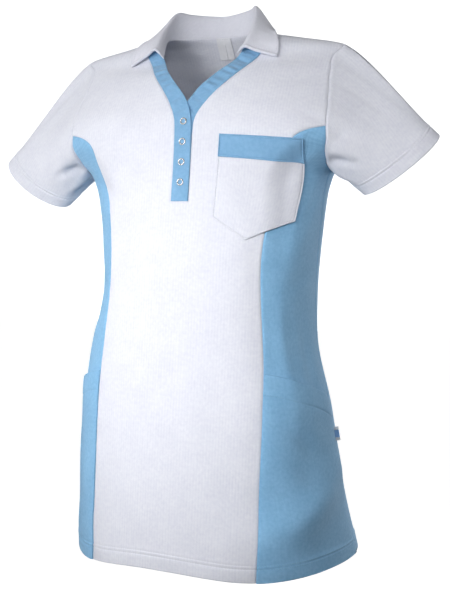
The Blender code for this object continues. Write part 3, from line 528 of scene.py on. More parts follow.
def bare_form(angle, height):
    """Points of the torso without its folds; angle in degrees, signed."""
    half, side, front, back, power = form_sizes(height, np.sin(np.radians(angle)))
    turn = np.radians(angle)
    s, c = np.sin(turn), np.cos(turn)
    depth = np.where(c > 0, side - front, back - side)
    x = half * np.sign(s) * np.abs(s) ** (2 / power)
    y = side - depth * np.sign(c) * np.abs(c) ** (2 / power)
    return np.stack(np.broadcast_arrays(x, y, np.asarray(height, float)), -1)


def form_level(points):
    """Below zero inside the torso and above zero outside."""
    half, side, front, back, power = form_sizes(points[..., 2], points[..., 0])
    depth = np.where(points[..., 1] < side, side - front, back - side)
    across = np.abs(points[..., 0] / half) ** power
    return across + np.abs((points[..., 1] - side) / depth) ** power - 1


def form_normal(points):
    """The way out of the torso at each point."""
    step = 0.4
    way = [form_level(points + step * axis) - form_level(points - step * axis)
           for axis in np.eye(3)]
    return unit(np.stack(way, -1))


def fold_push(u, v, start, end, wide, deep, blunt):
    """How far one straight fold moves the cloth out at places of the flat cloth."""
    run = np.subtract(end, start)
    length = np.hypot(*run)
    du, dv = u - start[0], v - start[1]
    ahead = (du * run[0] + dv * run[1]) / length
    aside = (du * run[1] - dv * run[0]) / length
    past = np.maximum(np.abs(ahead - length / 2) - length / 2, 0) / (FOLD_END * wide)
    taper = np.sin(np.pi * np.clip(ahead / length, blunt, 1 - blunt))
    return deep * taper * np.exp(-(aside / wide) ** 2 - past**2)


def torso_folds(angle, height):
    """How far the folds and creases of the torso move its cloth out."""
    depth = np.zeros(np.broadcast(angle, height).shape)
    for angle_1, height_1, angle_2, height_2, wide, deep in FOLDS + CREASES:
        middle = (angle_1 + angle_2) / 2
        near = (np.asarray(angle, float) - middle + 180) % 360 - 180 + middle
        depth = depth + fold_push(near * FOLD_ARC, height, (angle_1 * FOLD_ARC, height_1),
                                  (angle_2 * FOLD_ARC, height_2), wide, deep, FOLD_BLUNT)
    return depth


def undulation(angle, height):
    """Slow unevenness of cloth that hangs free."""
    turn = np.radians(angle)
    wave = np.sin(3 * turn + height / 67 + 0.7) * np.sin(height / 53 - 2 * turn)
    wave = wave + 0.6 * np.sin(7 * turn - height / 90 + 2.0) * np.sin(height / 31 + 1.1)
    return UNDULATION * wave


def torso(angle, height):
    """Outer face of the cloth, and the way out of it."""
    points = bare_form(angle, height)
    outward = form_normal(points)
    depth = torso_folds(angle, height) + undulation(angle, height)
    return points + outward * depth[..., None], outward


def angle_at_breadth(breadth, height, back=False):
    """The angle whose point lies this far from the middle plane."""
    half, _, _, _, power = form_sizes(height, breadth)
    share = np.clip(np.abs(breadth) / half, 0, 1)
    angle = np.degrees(np.arcsin(share ** (power / 2))) * np.sign(breadth)
    return np.where(breadth < 0, -180 - angle, 180 - angle) if back else angle


def angle_at_y(y, height):
    """The angle on the wearer's left whose point lies at this y."""
    _, side, front, back, power = form_sizes(height, 1)
    depth = np.where(y < side, side - front, back - side)
    share = np.clip(np.abs(side - y) / depth, 0, 1) ** (power / 2)
    return np.degrees(np.arccos(share * np.sign(side - y)))


def raised(grid, relief):
    """The torso's cloth lifted by a relief, and the way out of it."""
    points, outward = torso(*apart(grid))
    return points + outward * relief[..., None], outward


def hem_height(angle):
    """The lower edge, which dips a little between the side seams and centre front."""
    return HEM_HEIGHT - read(HEM_DIPS, angle)


def girth_table():
    """Distance round the body from centre front, by height and angle."""
    angles = np.linspace(-180, 180, 360 * GIRTH_FINE + 1)
    heights = np.linspace(*GIRTH_SPAN, GIRTH_ROWS)
    grid = bare_form(angles[None, :], heights[:, None])
    steps = np.linalg.norm(np.diff(grid, axis=1), axis=-1)
    arc = np.hstack([np.zeros((GIRTH_ROWS, 1)), np.cumsum(steps, axis=1)])
    return arc - arc[:, 180 * GIRTH_FINE, None]


GIRTH = girth_table()


def girth(angle, height):
    """Distance round the body from centre front to a point."""
    low, high = GIRTH_SPAN
    i = np.clip((np.asarray(angle, float) + 180) * GIRTH_FINE, 0, 360 * GIRTH_FINE - 0.001)
    j = np.clip((np.asarray(height, float) - low) / (high - low), 0, 1) * (GIRTH_ROWS - 1.001)
    i0, j0 = i.astype(int), j.astype(int)
    a, b = i - i0, j - j0
    lower = GIRTH[j0, i0] * (1 - a) + GIRTH[j0, i0 + 1] * a
    upper = GIRTH[j0 + 1, i0] * (1 - a) + GIRTH[j0 + 1, i0 + 1] * a
    return lower * (1 - b) + upper * b


def runs(points):
    """Distance along a line of points."""
    steps = np.linalg.norm(np.diff(points, axis=0), axis=-1)
    return np.concatenate([np.zeros((1, *steps.shape[1:])), np.cumsum(steps, axis=0)])


def rungs(length, low, count, high):
    """Distances along a line: fixed ones near its two ends and equal steps between."""
    low, high = np.array(low, float), np.array(high, float)
    shrink = min(1.0, RUNGS_SHARE * length / max(low[-1] + high[-1], 1e-6))
    low, high = low * shrink, high * shrink
    middle = np.linspace(low[-1], length - high[-1], count + 1)
    return np.concatenate([low[:-1], middle, (length - high[::-1])[1:]])


def cut(path, low, count, high):
    """A path of angles and heights, read again at those distances along the cloth."""
    at = runs(bare_form(*apart(path)))
    return read_along(rungs(at[-1], low, count, high), at, path)


def path_by_height(low, high, angle_of):
    """A path that climbs from one height to another."""
    heights = np.linspace(low, high, PATH_SAMPLES)
    return np.stack([angle_of(heights), heights], -1)


def armhole_path(table, side):
    """Half of the armhole, from the shoulder tip to the underarm."""
    top, foot = table[0][0], table[-1][0]
    turn = np.linspace(0, np.pi, PATH_SAMPLES)
    heights = foot + (top - foot) * (1 + np.cos(turn)) / 2
    return np.stack([side * angle_at_y(read(table, heights), heights), heights], -1)


def split_path(path, height):
    """Cut a falling path at a height."""
    k = nearest(path[:, 1], height)
    return path[:k + 1], path[k:]


def breadth_path(table, low, high, side, column=1, back=False):
    """A climbing path at the breadth that a table gives, on one side of the shirt."""
    return path_by_height(
        low, high, lambda z: angle_at_breadth(side * read(table, z, column), z, back))


def patch(left, right, bottom, top, low, count, high):
    """Angles and heights inside four edges, each row cut along the cloth."""
    rows, columns = len(left), len(bottom)
    v = np.linspace(0, 1, rows)[:, None, None]
    u = np.linspace(0, 1, columns)[None, :, None]
    sides = left[:, None] * (1 - u) + right[:, None] * u
    ends = bottom[None] * (1 - v) + top[None] * v
    corners = (bottom[0] * (1 - u) + bottom[-1] * u) * (1 - v)
    corners = corners + (top[0] * (1 - u) + top[-1] * u) * v
    grid = sides + ends - corners
    for j in range(1, rows - 1):
        grid[j] = cut(grid[j], low, count, high)
    return grid


def seam_paths(side):
    """Every seam of one half of the shirt, from the hem or the shoulder."""
    front_hole = armhole_path(ARMHOLE_FRONT, side)
    back_hole = armhole_path(ARMHOLE_BACK, side)
    front_top, back_top = FRONT_PRINCESS[0][0], BACK_PRINCESS[0][0]
    front_upper, front_lower = split_path(front_hole, front_top)
    back_upper, back_lower = split_path(back_hole, back_top)
    front_seam = breadth_path(FRONT_PRINCESS, HEM_HEIGHT, front_top, side)
    back_seam = breadth_path(BACK_PRINCESS, HEM_HEIGHT, back_top, side, back=True)
    front_seam[-1], back_seam[-1] = front_upper[-1], back_upper[-1]
    front_seam[0, 1] = hem_height(front_seam[0, 0])
    back_seam[0, 1] = hem_height(back_seam[0, 0])
    foot = front_hole[-1, 1]
    side_seam = path_by_height(HEM_HEIGHT, foot, lambda z: side * read(SIDE_SEAM, z))
    side_seam[-1] = front_hole[-1]
    side_seam[0, 1] = hem_height(side_seam[0, 0])
    rows = (HEM_RUNGS, SEAM_STEPS, SEAM_RUNGS)
    return {
        "front": cut(front_seam, *rows),
        "back": cut(back_seam, *rows),
        "side": cut(side_seam, *rows),
        "front_upper": cut(front_upper, PLAIN, UPPER_STEPS, PLAIN),
        "front_lower": cut(front_lower, SEAM_RUNGS, SIDE_FRONT_STEPS, SEAM_RUNGS),
        "back_upper": cut(back_upper, PLAIN, UPPER_STEPS, PLAIN),
        "back_lower": cut(back_lower, SEAM_RUNGS, SIDE_BACK_STEPS, SEAM_RUNGS),
    }


def hem_path(first, last, low, count, high):
    """The lower edge between two angles."""
    angles = np.linspace(first, last, PATH_SAMPLES)
    return cut(np.stack([angles, hem_height(angles)], -1), low, count, high)


def shoulder_path(high_end, low_end, side, low, count, high):
    """The shoulder seam from one height out to the armhole."""
    heights = np.linspace(high_end, low_end, PATH_SAMPLES)
    path = np.stack([np.full(PATH_SAMPLES, side * 90.0), heights], -1)
    return cut(path, low, count, high)


class Cloth:
    """The outer face of one piece of cloth, gathered from grids of points."""

    def __init__(self):
        self.grids = []

    def add(self, points, outward, uv, thick, flip=False):
        """A grid of points, the way out at each, cloth coordinates and thickness."""
        thick = np.broadcast_to(np.asarray(thick, float), points.shape[:2])
        self.grids.append((points, outward, uv, thick, flip))

    def joined(self):
        """Points, ways out, coordinates, thickness and faces of all the grids as one."""
        faces, start = [], 0
        for points, _, _, _, flip in self.grids:
            rows, columns = points.shape[:2]
            index = np.arange(rows * columns).reshape(rows, columns) + start
            a, b, c, d = (index[:-1, :-1], index[:-1, 1:], index[1:, 1:], index[1:, :-1])
            order = (a, d, c, b) if flip else (a, b, c, d)
            faces.append(np.stack([corner.ravel() for corner in order], -1))
            start += rows * columns
        gathered = [np.concatenate([grid[k].reshape(-1, *grid[k].shape[2:])
                                    for grid in self.grids]) for k in range(4)]
        return (*gathered, np.concatenate(faces))


def shell(name, cloth, finish, replaces):
    """A closed piece of cloth with rounded edges, from its outer face."""
    points, outward, uv, thick, faces = cloth.joined()
    _, first, where = np.unique(np.round(points * WELD).astype(np.int64), axis=0,
                                return_index=True, return_inverse=True)
    where = where.ravel()
    ways = np.zeros((len(first), 3))
    np.add.at(ways, where, outward)
    spots, outward, thick = points[first], unit(ways), thick[first, None]
    corners, face_uv = where[faces], uv[faces]
    keep = np.array([len(set(row)) == 4 for row in corners.tolist()])
    corners, face_uv = corners[keep], face_uv[keep]
    count = len(spots)
    starts, ends = corners.ravel(), np.roll(corners, -1, axis=1).ravel()
    alone = ~np.isin(starts * count + ends, ends * count + starts)
    rim_a, rim_b = starts[alone], ends[alone]
    rim_uv_a = face_uv.reshape(-1, 2)[alone]
    rim_uv_b = np.roll(face_uv, -1, axis=1).reshape(-1, 2)[alone]
    before, after = np.full((2, count), -1)
    before[rim_b], after[rim_a] = rim_a, rim_b
    rim = np.unique(rim_a)
    side_1 = unit(np.cross(outward[rim], unit(spots[rim] - spots[before[rim]])))
    side_2 = unit(np.cross(outward[rim], unit(spots[after[rim]] - spots[rim])))
    blunt = np.maximum(1 + np.sum(side_1 * side_2, axis=1, keepdims=True), RIM_BLUNT)
    inward = (side_1 + side_2) * thick[rim] / 2 / blunt
    outer = spots.copy()
    outer[rim] = spots[rim] + inward
    inner = outer - outward * thick
    rings = [outer[rim] - outward[rim] * thick[rim] / 2 * (1 - math.cos(turn))
             - inward * math.sin(turn) for turn in RIM_TURNS]
    on_ring = np.full(count, -1)
    on_ring[rim] = 2 * count + np.arange(len(rim))
    levels = [np.arange(count), *(on_ring + k * len(rim) for k in range(len(rings))),
              np.arange(count) + count]
    quads = [corners, corners[:, ::-1] + count]
    coordinates = [face_uv, face_uv[:, ::-1]]
    for upper, lower in zip(levels[:-1], levels[1:]):
        quads.append(np.stack([upper[rim_b], upper[rim_a], lower[rim_a], lower[rim_b]], -1))
        coordinates.append(np.stack([rim_uv_b, rim_uv_a, rim_uv_a, rim_uv_b], 1))
    piece = mesh_object(name, np.vstack([outer, inner, *rings]), np.vstack(quads), finish,
                        np.concatenate(coordinates))
    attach(piece, "root")
    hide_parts(replaces)


def mesh_object(name, points, faces, finish, uv=None):
    """A smooth mesh object from points in millimetres."""
    mesh = bpy.data.meshes.new(name)
    mesh.from_pydata((points * MM).tolist(), [], np.asarray(faces).tolist())
    if uv is not None:
        layer = mesh.uv_layers.new(name="cloth")
        layer.data.foreach_set("uv", (uv * MM).astype(np.float32).ravel())
    mesh.shade_smooth()
    mesh.materials.append(finish)
    thing = bpy.data.objects.new(name, mesh)
    bpy.context.scene.collection.objects.link(thing)
    return thing


def grid_runs(points):
    """Distances of a grid's points from its left, right, first and last edges."""
    along = runs(points.swapaxes(0, 1)).T
    up = runs(points)
    return along, along[:, -1:] - along, up, up[-1:] - up


def cloth_runs(grid):
    """The same distances for a grid of angles and heights."""
    return grid_runs(bare_form(*apart(grid)))


def seam_relief(distance, height):
    """How cloth sinks and puckers at a seam, with the small roll beside it."""
    pucker = SEAM_PUCKER * ripples(height, *SEAM_RIPPLES) * bell(distance, PUCKER_REACH)
    return ridges(distance, SEAM_RIDGES) + pucker


def hem_relief(distance, along, stitched):
    """The doubled hem, the grooves of its stitches and the ripples that they leave."""
    relief = HEM_RISE * (1 - ease(distance, stitched[1], stitched[1] + HEM_STEP))
    for line in stitched:
        relief = relief + ridges(distance - line, STITCH_RIDGES)
    middle = stitched[0] + HEM_RIPPLE_RISE
    return relief + HEM_RIPPLE * ripples(along, *HEM_RIPPLES) * bell(distance - middle,
                                                                     HEM_RIPPLE_REACH)


def torso_piece(cloth, grid, side, uv_shift=0.0, right=1.0, left=0.0, top=1.0):
    """Add one patch of the torso; right, left and top say how much each edge is a seam.

    Gives the lines on which its hem is stitched.
    """
    height = grid[..., 1]
    from_left, from_right, from_low, from_high = cloth_runs(grid)
    around = girth(*apart(grid))
    relief = hem_relief(from_low, around, HEM_STITCHES)
    for share, distance in ((right, from_right), (left, from_left), (top, from_high)):
        relief = relief + share * seam_relief(distance, height)
    thick = KNIT + HEM_EXTRA * (1 - ease(from_low, HEM_FOLD, HEM_FOLD + HEM_FOLD_STEP))
    points, outward = raised(grid, relief)
    uv = np.stack([around - uv_shift, from_low], -1)
    cloth.add(points, outward, uv, thick, flip=side < 0)
    return hem_lines(points, outward)


def hem_lines(points, outward):
    """The lines of a grid on which its hem is stitched."""
    rows = [HEM_RUNGS.index(height) for height in HEM_STITCHES]
    return [(points[row], outward[row]) for row in rows]


def band_seam(side):
    """The seam that joins a band to the front, from the foot of the opening up."""
    path = breadth_path(BAND_SEAM, SLIT_FOOT, BAND_SEAM[0][0], side, BAND_SEAM_COLUMN[side])
    path[-1] = (side * 90.0, BAND_SEAM[0][0])
    return path


def front_panel(seams, sewn):
    """White centre front with its neck opening."""
    cloth = Cloth()
    rows = len(seams[1]["front"]) + len(seams[1]["front_upper"]) - 1
    foot_run = runs(bare_form(np.zeros(PATH_SAMPLES),
                              np.linspace(HEM_HEIGHT, SLIT_FOOT, PATH_SAMPLES)))[-1]
    share = foot_run / (foot_run + BAND_SEAM_RUN)
    slit_row = len(HEM_RUNGS) - 1 + int((rows - len(HEM_RUNGS)) * share)
    low_rows = (HEM_RUNGS, slit_row - len(HEM_RUNGS) + 1, PLAIN)
    below = ((HEM_HEIGHT, PLACKET_HALF), (SLIT_FOOT, PLACKET_HALF))
    spine = cut(path_by_height(hem_height(0.0), SLIT_FOOT, np.zeros_like), *low_rows)
    across = (SEAM_RUNGS, FRONT_STEPS, SEAM_RUNGS)
    for side in SIDES:
        low = breadth_path(below, HEM_HEIGHT, SLIT_FOOT, side)
        low[0, 1] = hem_height(low[0, 0])
        high = cut(band_seam(side), PLAIN, rows - 1 - slit_row, PLAIN)
        inner = np.vstack([cut(low, *low_rows)[:-1], high])
        outer = np.vstack([seams[side]["front"][:-1], seams[side]["front_upper"][::-1]])
        hem = hem_path(inner[0, 0], outer[0, 0], *across)
        shoulder = shoulder_path(inner[-1, 1], SHOULDER_TIP, side, *across)
        outer[-1] = shoulder[-1]
        half = patch(inner, outer, hem, shoulder, *across)
        above = (np.arange(rows) >= slit_row)[:, None] * 1.0
        sewn["white"] += torso_piece(cloth, half, side, left=above)
        steps = np.linspace(0, 1, SLIT_COLUMNS)[None, :, None]
        middle = spine[:, None] * (1 - steps) + half[:slit_row + 1, None, 0] * steps
        sewn["white"] += torso_piece(cloth, middle, side, right=0.0, top=0.0)
    shell("front_panel_knit", cloth, WHITE, "front_panel")


def back_panel(seams, sewn):
    """White centre back."""
    cloth = Cloth()
    neck_angle = np.linspace(180, 90, PATH_SAMPLES)
    neck_rise = BACK_NECK_RISE * (1 - np.cos(np.radians(2 * (neck_angle - 90)))) / 2
    rows = len(seams[1]["back"]) + len(seams[1]["back_upper"]) - 1
    across = (PLAIN, BACK_STEPS, SEAM_RUNGS)
    for side in SIDES:
        centre = side * 180.0
        neck = cut(np.stack([neck_angle * side, neck_rise], -1), PLAIN, NECK_STEPS, PLAIN)
        spine = path_by_height(hem_height(180.0), neck_rise[0],
                               lambda z: np.full_like(z, centre))
        spine = cut(spine, HEM_RUNGS, rows - len(HEM_RUNGS) - NECK_STEPS, PLAIN)
        inner = np.vstack([spine[:-1], neck])
        outer = np.vstack([seams[side]["back"][:-1], seams[side]["back_upper"][::-1]])
        hem = hem_path(inner[0, 0], outer[0, 0], *across)
        shoulder = shoulder_path(inner[-1, 1], SHOULDER_TIP, side, *across)
        outer[-1] = shoulder[-1]
        grid = patch(inner, outer, hem, shoulder, *across)
        sewn["white"] += torso_piece(cloth, grid, -side, uv_shift=girth(centre, grid[..., 1]))
    shell("back_panel_knit", cloth, WHITE, "back_panel")


def side_grid(at, word):
    """Angles and heights of a side front or side back, from one half's seams."""
    across = (SEAM_RUNGS, SIDE_FRONT_STEPS if word == "front" else SIDE_BACK_STEPS, SEAM_RUNGS)
    left, right = (at["front"], at["side"]) if word == "front" else (at["side"], at["back"])
    top = at["front_lower"] if word == "front" else at["back_lower"][::-1]
    hem = hem_path(left[0, 0], right[0, 0], *across)
    return patch(left, right, hem, top, *across)


def side_panels(seams, sewn):
    """Blue side fronts and side backs; the side pockets' own hems cover those in front."""
    for side, hand in SIDES.items():
        for word in ("front", "back"):
            cloth = Cloth()
            grid = side_grid(seams[side], word)
            middle = girth(*apart(grid[:, grid.shape[1] // 2]))
            lines = torso_piece(cloth, grid, side, uv_shift=middle[:, None], left=1.0)
            if word == "back":
                sewn["blue"] += lines
            shell(f"side_{word}_{hand}_knit", cloth, BLUE, f"side_{word}_{hand}")


def soft_weights(reach):
    """Shares in which a value is mixed with its neighbours."""
    weights = bell(np.arange(-3 * reach, 3 * reach + 1), reach)
    return weights / weights.sum()


def smooth_loop(values, reach):
    """Values round a closed loop, evened out over their neighbours."""
    return sum(weight * np.roll(values, shift, axis=0)
               for shift, weight in enumerate(soft_weights(reach), start=-3 * reach))


def armhole_half(at, word):
    """Half of an armhole, and its turn round the sleeve, from 0 on top to pi below."""
    upper, lower = at[f"{word}_upper"], at[f"{word}_lower"]
    lower_steps = ARMHOLE_LOWER[word]
    upper_runs, lower_runs = runs(bare_form(*apart(upper))), runs(bare_form(*apart(lower)))
    step = np.pi / (ARMHOLE_UPPER + lower_steps)
    high = upper_runs / upper_runs[-1] * ARMHOLE_UPPER * step
    low = (ARMHOLE_UPPER + lower_runs / lower_runs[-1] * lower_steps) * step
    return np.vstack([upper[:-1], lower]), np.concatenate([high[:-1], low])


def sleeve_folds(turn, share):
    """How far the sleeve's folds move its cloth out."""
    depth = np.zeros(np.broadcast(turn, share).shape)
    scale = np.array([SLEEVE_ARC, SLEEVE_LONG])
    for turn_1, share_1, turn_2, share_2, wide, deep in SLEEVE_CREASES:
        depth = depth + fold_push(turn * SLEEVE_ARC, share * SLEEVE_LONG,
                                  (turn_1, share_1) * scale, (turn_2, share_2) * scale, wide,
                                  deep, SLEEVE_FOLD_BLUNT)
    return depth


def closed(grid):
    """A grid round a sleeve, with its first column again at its end."""
    return np.hstack([grid, grid[:, :1]])


def sleeve_grid(points, torso_out, turn, side):
    """The sleeve's plain form, from the armhole's points to its lower edge."""
    centre, to_top, to_front = (np.array(row, float) for row in CUFFS[side])
    ring = centre + np.cos(turn)[:, None] * to_top + np.sin(turn)[:, None] * to_front
    axis = unit(np.array(SLEEVE_AXIS) * (side, 1, 1))
    along = np.roll(points, -1, 0) - np.roll(points, 1, 0)
    away = unit(np.cross(torso_out, unit(along)))
    away = away * np.sign(np.sum(away * (side, 0, 0), axis=1, keepdims=True) + 1e-9)
    away = unit(smooth_loop(away, SLEEVE_AWAY_SOFT))
    share = np.clip(np.cos(turn) * SLEEVE_CAP + SLEEVE_CAP_BASE, 0, 1)[:, None]
    reach = np.linalg.norm(ring - points, axis=1, keepdims=True)
    leave = unit(away * share + axis * (1 - share)) * reach * SLEEVE_LEAVE
    t = np.linspace(0, 1, SLEEVE_SAMPLES)[:, None, None]
    dense = cubic(t, points, leave, ring, axis * reach * SLEEVE_ARRIVE)
    length = runs(dense)
    return np.stack([
        read_along(rungs(length[-1, i], SEAM_RUNGS, SLEEVE_STEPS, SLEEVE_HEM_RUNGS),
                   length[:, i], dense[:, i]) for i in range(len(turn))], 1)


def sleeve(at, side, sewn):
    """One white set-in sleeve with its turned hem."""
    (front, front_turn), (back, back_turn) = (armhole_half(at, word) for word in ARMHOLE_LOWER)
    loop = np.vstack([front, back[-2:0:-1]])
    turn = np.concatenate([front_turn, 2 * np.pi - back_turn[-2:0:-1]])
    points, torso_out = raised(loop, seam_relief(0.0, loop[:, 1]))
    grid = sleeve_grid(points, torso_out, turn, side)
    from_top = runs(grid)
    from_cuff = from_top[-1:] - from_top
    round_it = np.roll(grid, -1, 1) - np.roll(grid, 1, 1)
    outward = unit(np.cross(round_it, np.gradient(grid, axis=0))) * side
    outward = unit(np.array([smooth_loop(row, 2) for row in outward]))
    outward[0] = unit(outward[1] + torso_out)
    degrees = np.degrees(turn)[None, :]
    spread = runs(closed(grid).swapaxes(0, 1)).T
    under = nearest(turn, np.pi)
    share = from_top / from_top[-1:]
    relief = (sleeve_folds(degrees, share) + sleeve_folds(degrees - 360, share)) \
        * ease(from_top, 0, SLEEVE_CREASES_FROM)
    relief = relief + ridges(from_top, SEAM_RIDGES + SLEEVE_HEAD) + SLEEVE_LIFT
    relief[0] = 0
    relief = relief + ridges(spread[:, :-1] - spread[:, under:under + 1], UNDERARM_SEAM)
    relief = relief + hem_relief(from_cuff, spread[:, :-1], SLEEVE_STITCHES)
    grid = grid + outward * relief[..., None]
    thick = KNIT + SLEEVE_HEM_EXTRA * (1 - ease(from_cuff, *SLEEVE_FOLD))
    cloth = Cloth()
    grid, outward = closed(grid), closed(outward)
    uv = np.stack([spread, closed(from_cuff)], -1)
    cloth.add(grid, outward, uv, closed(thick), flip=side < 0)
    for line in SLEEVE_STITCHES:
        row = len(grid) - 1 - SLEEVE_HEM_RUNGS.index(line)
        sewn["white"].append((grid[row], outward[row]))
    hand = SIDES[side]
    shell(f"sleeve_{hand}_knit", cloth, WHITE, f"sleeve_{hand}")


def band_grid(free_table, side):
    """A front band between its free edge and its seam, from the foot to the shoulder."""
    outer = cut(band_seam(side), SEAM_RUNGS, BAND_STEPS, PLAIN)
    turn = nearest(outer[:, 1], BAND_BREAK_SEAM)
    free = NECKLINE + free_table
    low = cut(breadth_path(free, SLIT_FOOT, BAND_BREAK_FREE, side), SEAM_RUNGS,
              turn - len(SEAM_RUNGS) + 1, PLAIN)
    high = breadth_path(free, BAND_BREAK_FREE, free[0][0], side)
    inner = np.vstack([low[:-1], cut(high, PLAIN, len(outer) - 1 - turn, PLAIN)])
    steps = np.linspace(0, 1, CROSS_SAMPLES)[:, None]
    return np.array([cut(first * (1 - steps) + last * steps, SEAM_RUNGS, BAND_COLUMNS,
                         SEAM_RUNGS) for first, last in zip(inner, outer)])


def band_wrinkles(from_foot, across, side):
    """Soft cross wrinkles of a folded band where it turns towards the neck."""
    wave = ripples(from_foot + WRINKLE_SLANT * across, *BAND_RIPPLES)
    return WRINKLE_DEEP[side] * wave * ease(from_foot, *WRINKLES_FROM)


def front_bands(sewn):
    """Blue bands of the opening: the wearer's right one lies on the left one."""
    for side, table, name in ((-1, TOP_BAND_EDGE, "placket_right"),
                              (1, UNDER_BAND_EDGE, "placket_left")):
        grid = band_grid(table, side)
        left, right, low, _ = cloth_runs(grid)
        lift = TOP_BAND_LIFT
        if side > 0:
            share = ease(grid[..., 1], BAND_DIVE[1], BAND_DIVE[0])
            lift = UNDER_BAND_LIFT + (NECK_BAND_LIFT - UNDER_BAND_LIFT) * share
        edge = np.minimum(left, right)
        relief = lift + band_wrinkles(low, left, side) * ease(edge, 0, 6)
        points, outward = raised(grid, relief + ridges(edge, BAND_RIDGES))
        cloth = Cloth()
        cloth.add(points, outward, np.stack([left * side, low], -1), BAND, flip=side < 0)
        for distance in (left, right):
            column = nearest(distance[len(left) // 4], BAND_STITCH)
            sewn["band"].append((points[4:, column], outward[4:, column]))
        shell(f"{name}_knit", cloth, BLUE_BAND, name)


def through_rows(values, count):
    """A smooth curve through evenly spaced rows, read at more rows."""
    lean = np.gradient(values, axis=0)
    at = np.linspace(0, len(values) - 1, count)
    i = np.minimum(at.astype(int), len(values) - 2)
    t = (at - i).reshape(-1, *([1] * (values.ndim - 1)))
    return cubic(t, values[i], lean[i], values[i + 1], lean[i + 1])


def softened(rows, reach):
    """Rows evened out over their neighbours; the first and the last stay."""
    pad = 3 * reach
    longer = np.concatenate([2 * rows[:1] - rows[pad:0:-1], rows,
                             2 * rows[-1:] - rows[-2:-pad - 2:-1]])
    return sum(weight * longer[k:k + len(rows)]
               for k, weight in enumerate(soft_weights(reach)))


def collar_rail(column):
    """One of the collar's three lines, from its left front end round the back to the right."""
    half = np.array([row[column] for row in COLLAR], float)
    whole = np.vstack([half, half[-2::-1] * (-1, 1, 1)])
    if column == 1:
        whole[-2:, 2] += COLLAR_RIGHT_RISE
    knots = np.arange(len(whole))
    at = np.linspace(0, len(whole) - 1, 2 * COLLAR_STATIONS + 1)
    return np.stack([smooth_at(knots, whole[:, k], at) for k in range(3)], -1)


def clear_of_torso(points, lift):
    """Points moved out to lie at least this far above the torso."""
    for _ in range(CLEAR_ROUNDS):
        out = form_normal(points)
        slope = (form_level(points + out) - form_level(points - out)) / 2
        short = np.clip(lift - form_level(points) / slope, 0, None)
        points = points + out * short[..., None]
    return points


def collar(sewn):
    """White collar: a stand round the neck, rolled over into its stitched leaf."""
    seam, fold, edge = (collar_rail(column) for column in range(3))
    rise = unit(fold - seam)
    fall = unit(edge - fold)
    out = unit(fall - rise * np.sum(fall * rise, axis=1, keepdims=True))
    lines = np.stack([seam, fold, edge, rise * COLLAR_ROLL, fall * COLLAR_ROLL,
                      out * COLLAR_ROLL])
    rough = np.einsum("sk,kij->sij", np.array(COLLAR_SECTION), lines)
    rough[LEAF_FIRST:] = clear_of_torso(rough[LEAF_FIRST:], LEAF_LIFT)
    station = np.arange(len(seam))
    tuck = ease(np.minimum(station, station[::-1]), 14, 40)[:, None]
    stand_foot = seam - (rise * COLLAR_TUCK[0] + out * COLLAR_TUCK[1]) * tuck
    rough = np.concatenate([stand_foot[None], rough])
    grid = softened(through_rows(rough, COLLAR_ROWS), COLLAR_SOFT)[:, COLLAR_COLUMNS]
    outward = unit(np.cross(np.gradient(grid, axis=0), np.gradient(grid, axis=1)))
    left, right, up, down = grid_runs(grid)
    end = np.minimum(left, right)
    inside = np.minimum(end, down)
    share = np.linspace(0, 1, COLLAR_ROWS)[:, None]
    leaf = ease(share, *COLLAR_LEAF)
    end_bead = bell(end, END_BEAD_WIDE) * ease(share, *END_BEAD_FROM)
    thick = STAND + (LEAF - STAND) * leaf + END_BEAD_THICK * end_bead
    thick = thick + LEAF_BEAD_THICK * bell(down, LEAF_BEAD_WIDE) * leaf
    relief = leaf * ridges(inside, LEAF_RIDGES) + END_BEAD_LIFT * end_bead
    relief = relief + leaf * LEAF_WAVE * np.sin(left / 17 + 2 * share) * ease(inside, 4, 16)
    points = grid + outward * relief[..., None]
    cloth = Cloth()
    cloth.add(points, outward, np.stack([left, up], -1), thick, flip=True)
    last = COLLAR_ROWS - 1 - nearest(down[::-1, COLLAR_STATIONS], LEAF_STITCH)
    first = int(COLLAR_ROWS * LEAF_STITCH_FROM)
    lines = (np.s_[last, 3:-3], np.s_[first:last + 1, 3], np.s_[first:last + 1, -4])
    sewn["white"] += [(points[line], outward[line]) for line in lines]
    shell("collar_knit", cloth, COLLAR_WHITE_PAINTED_LIGHT, "collar")


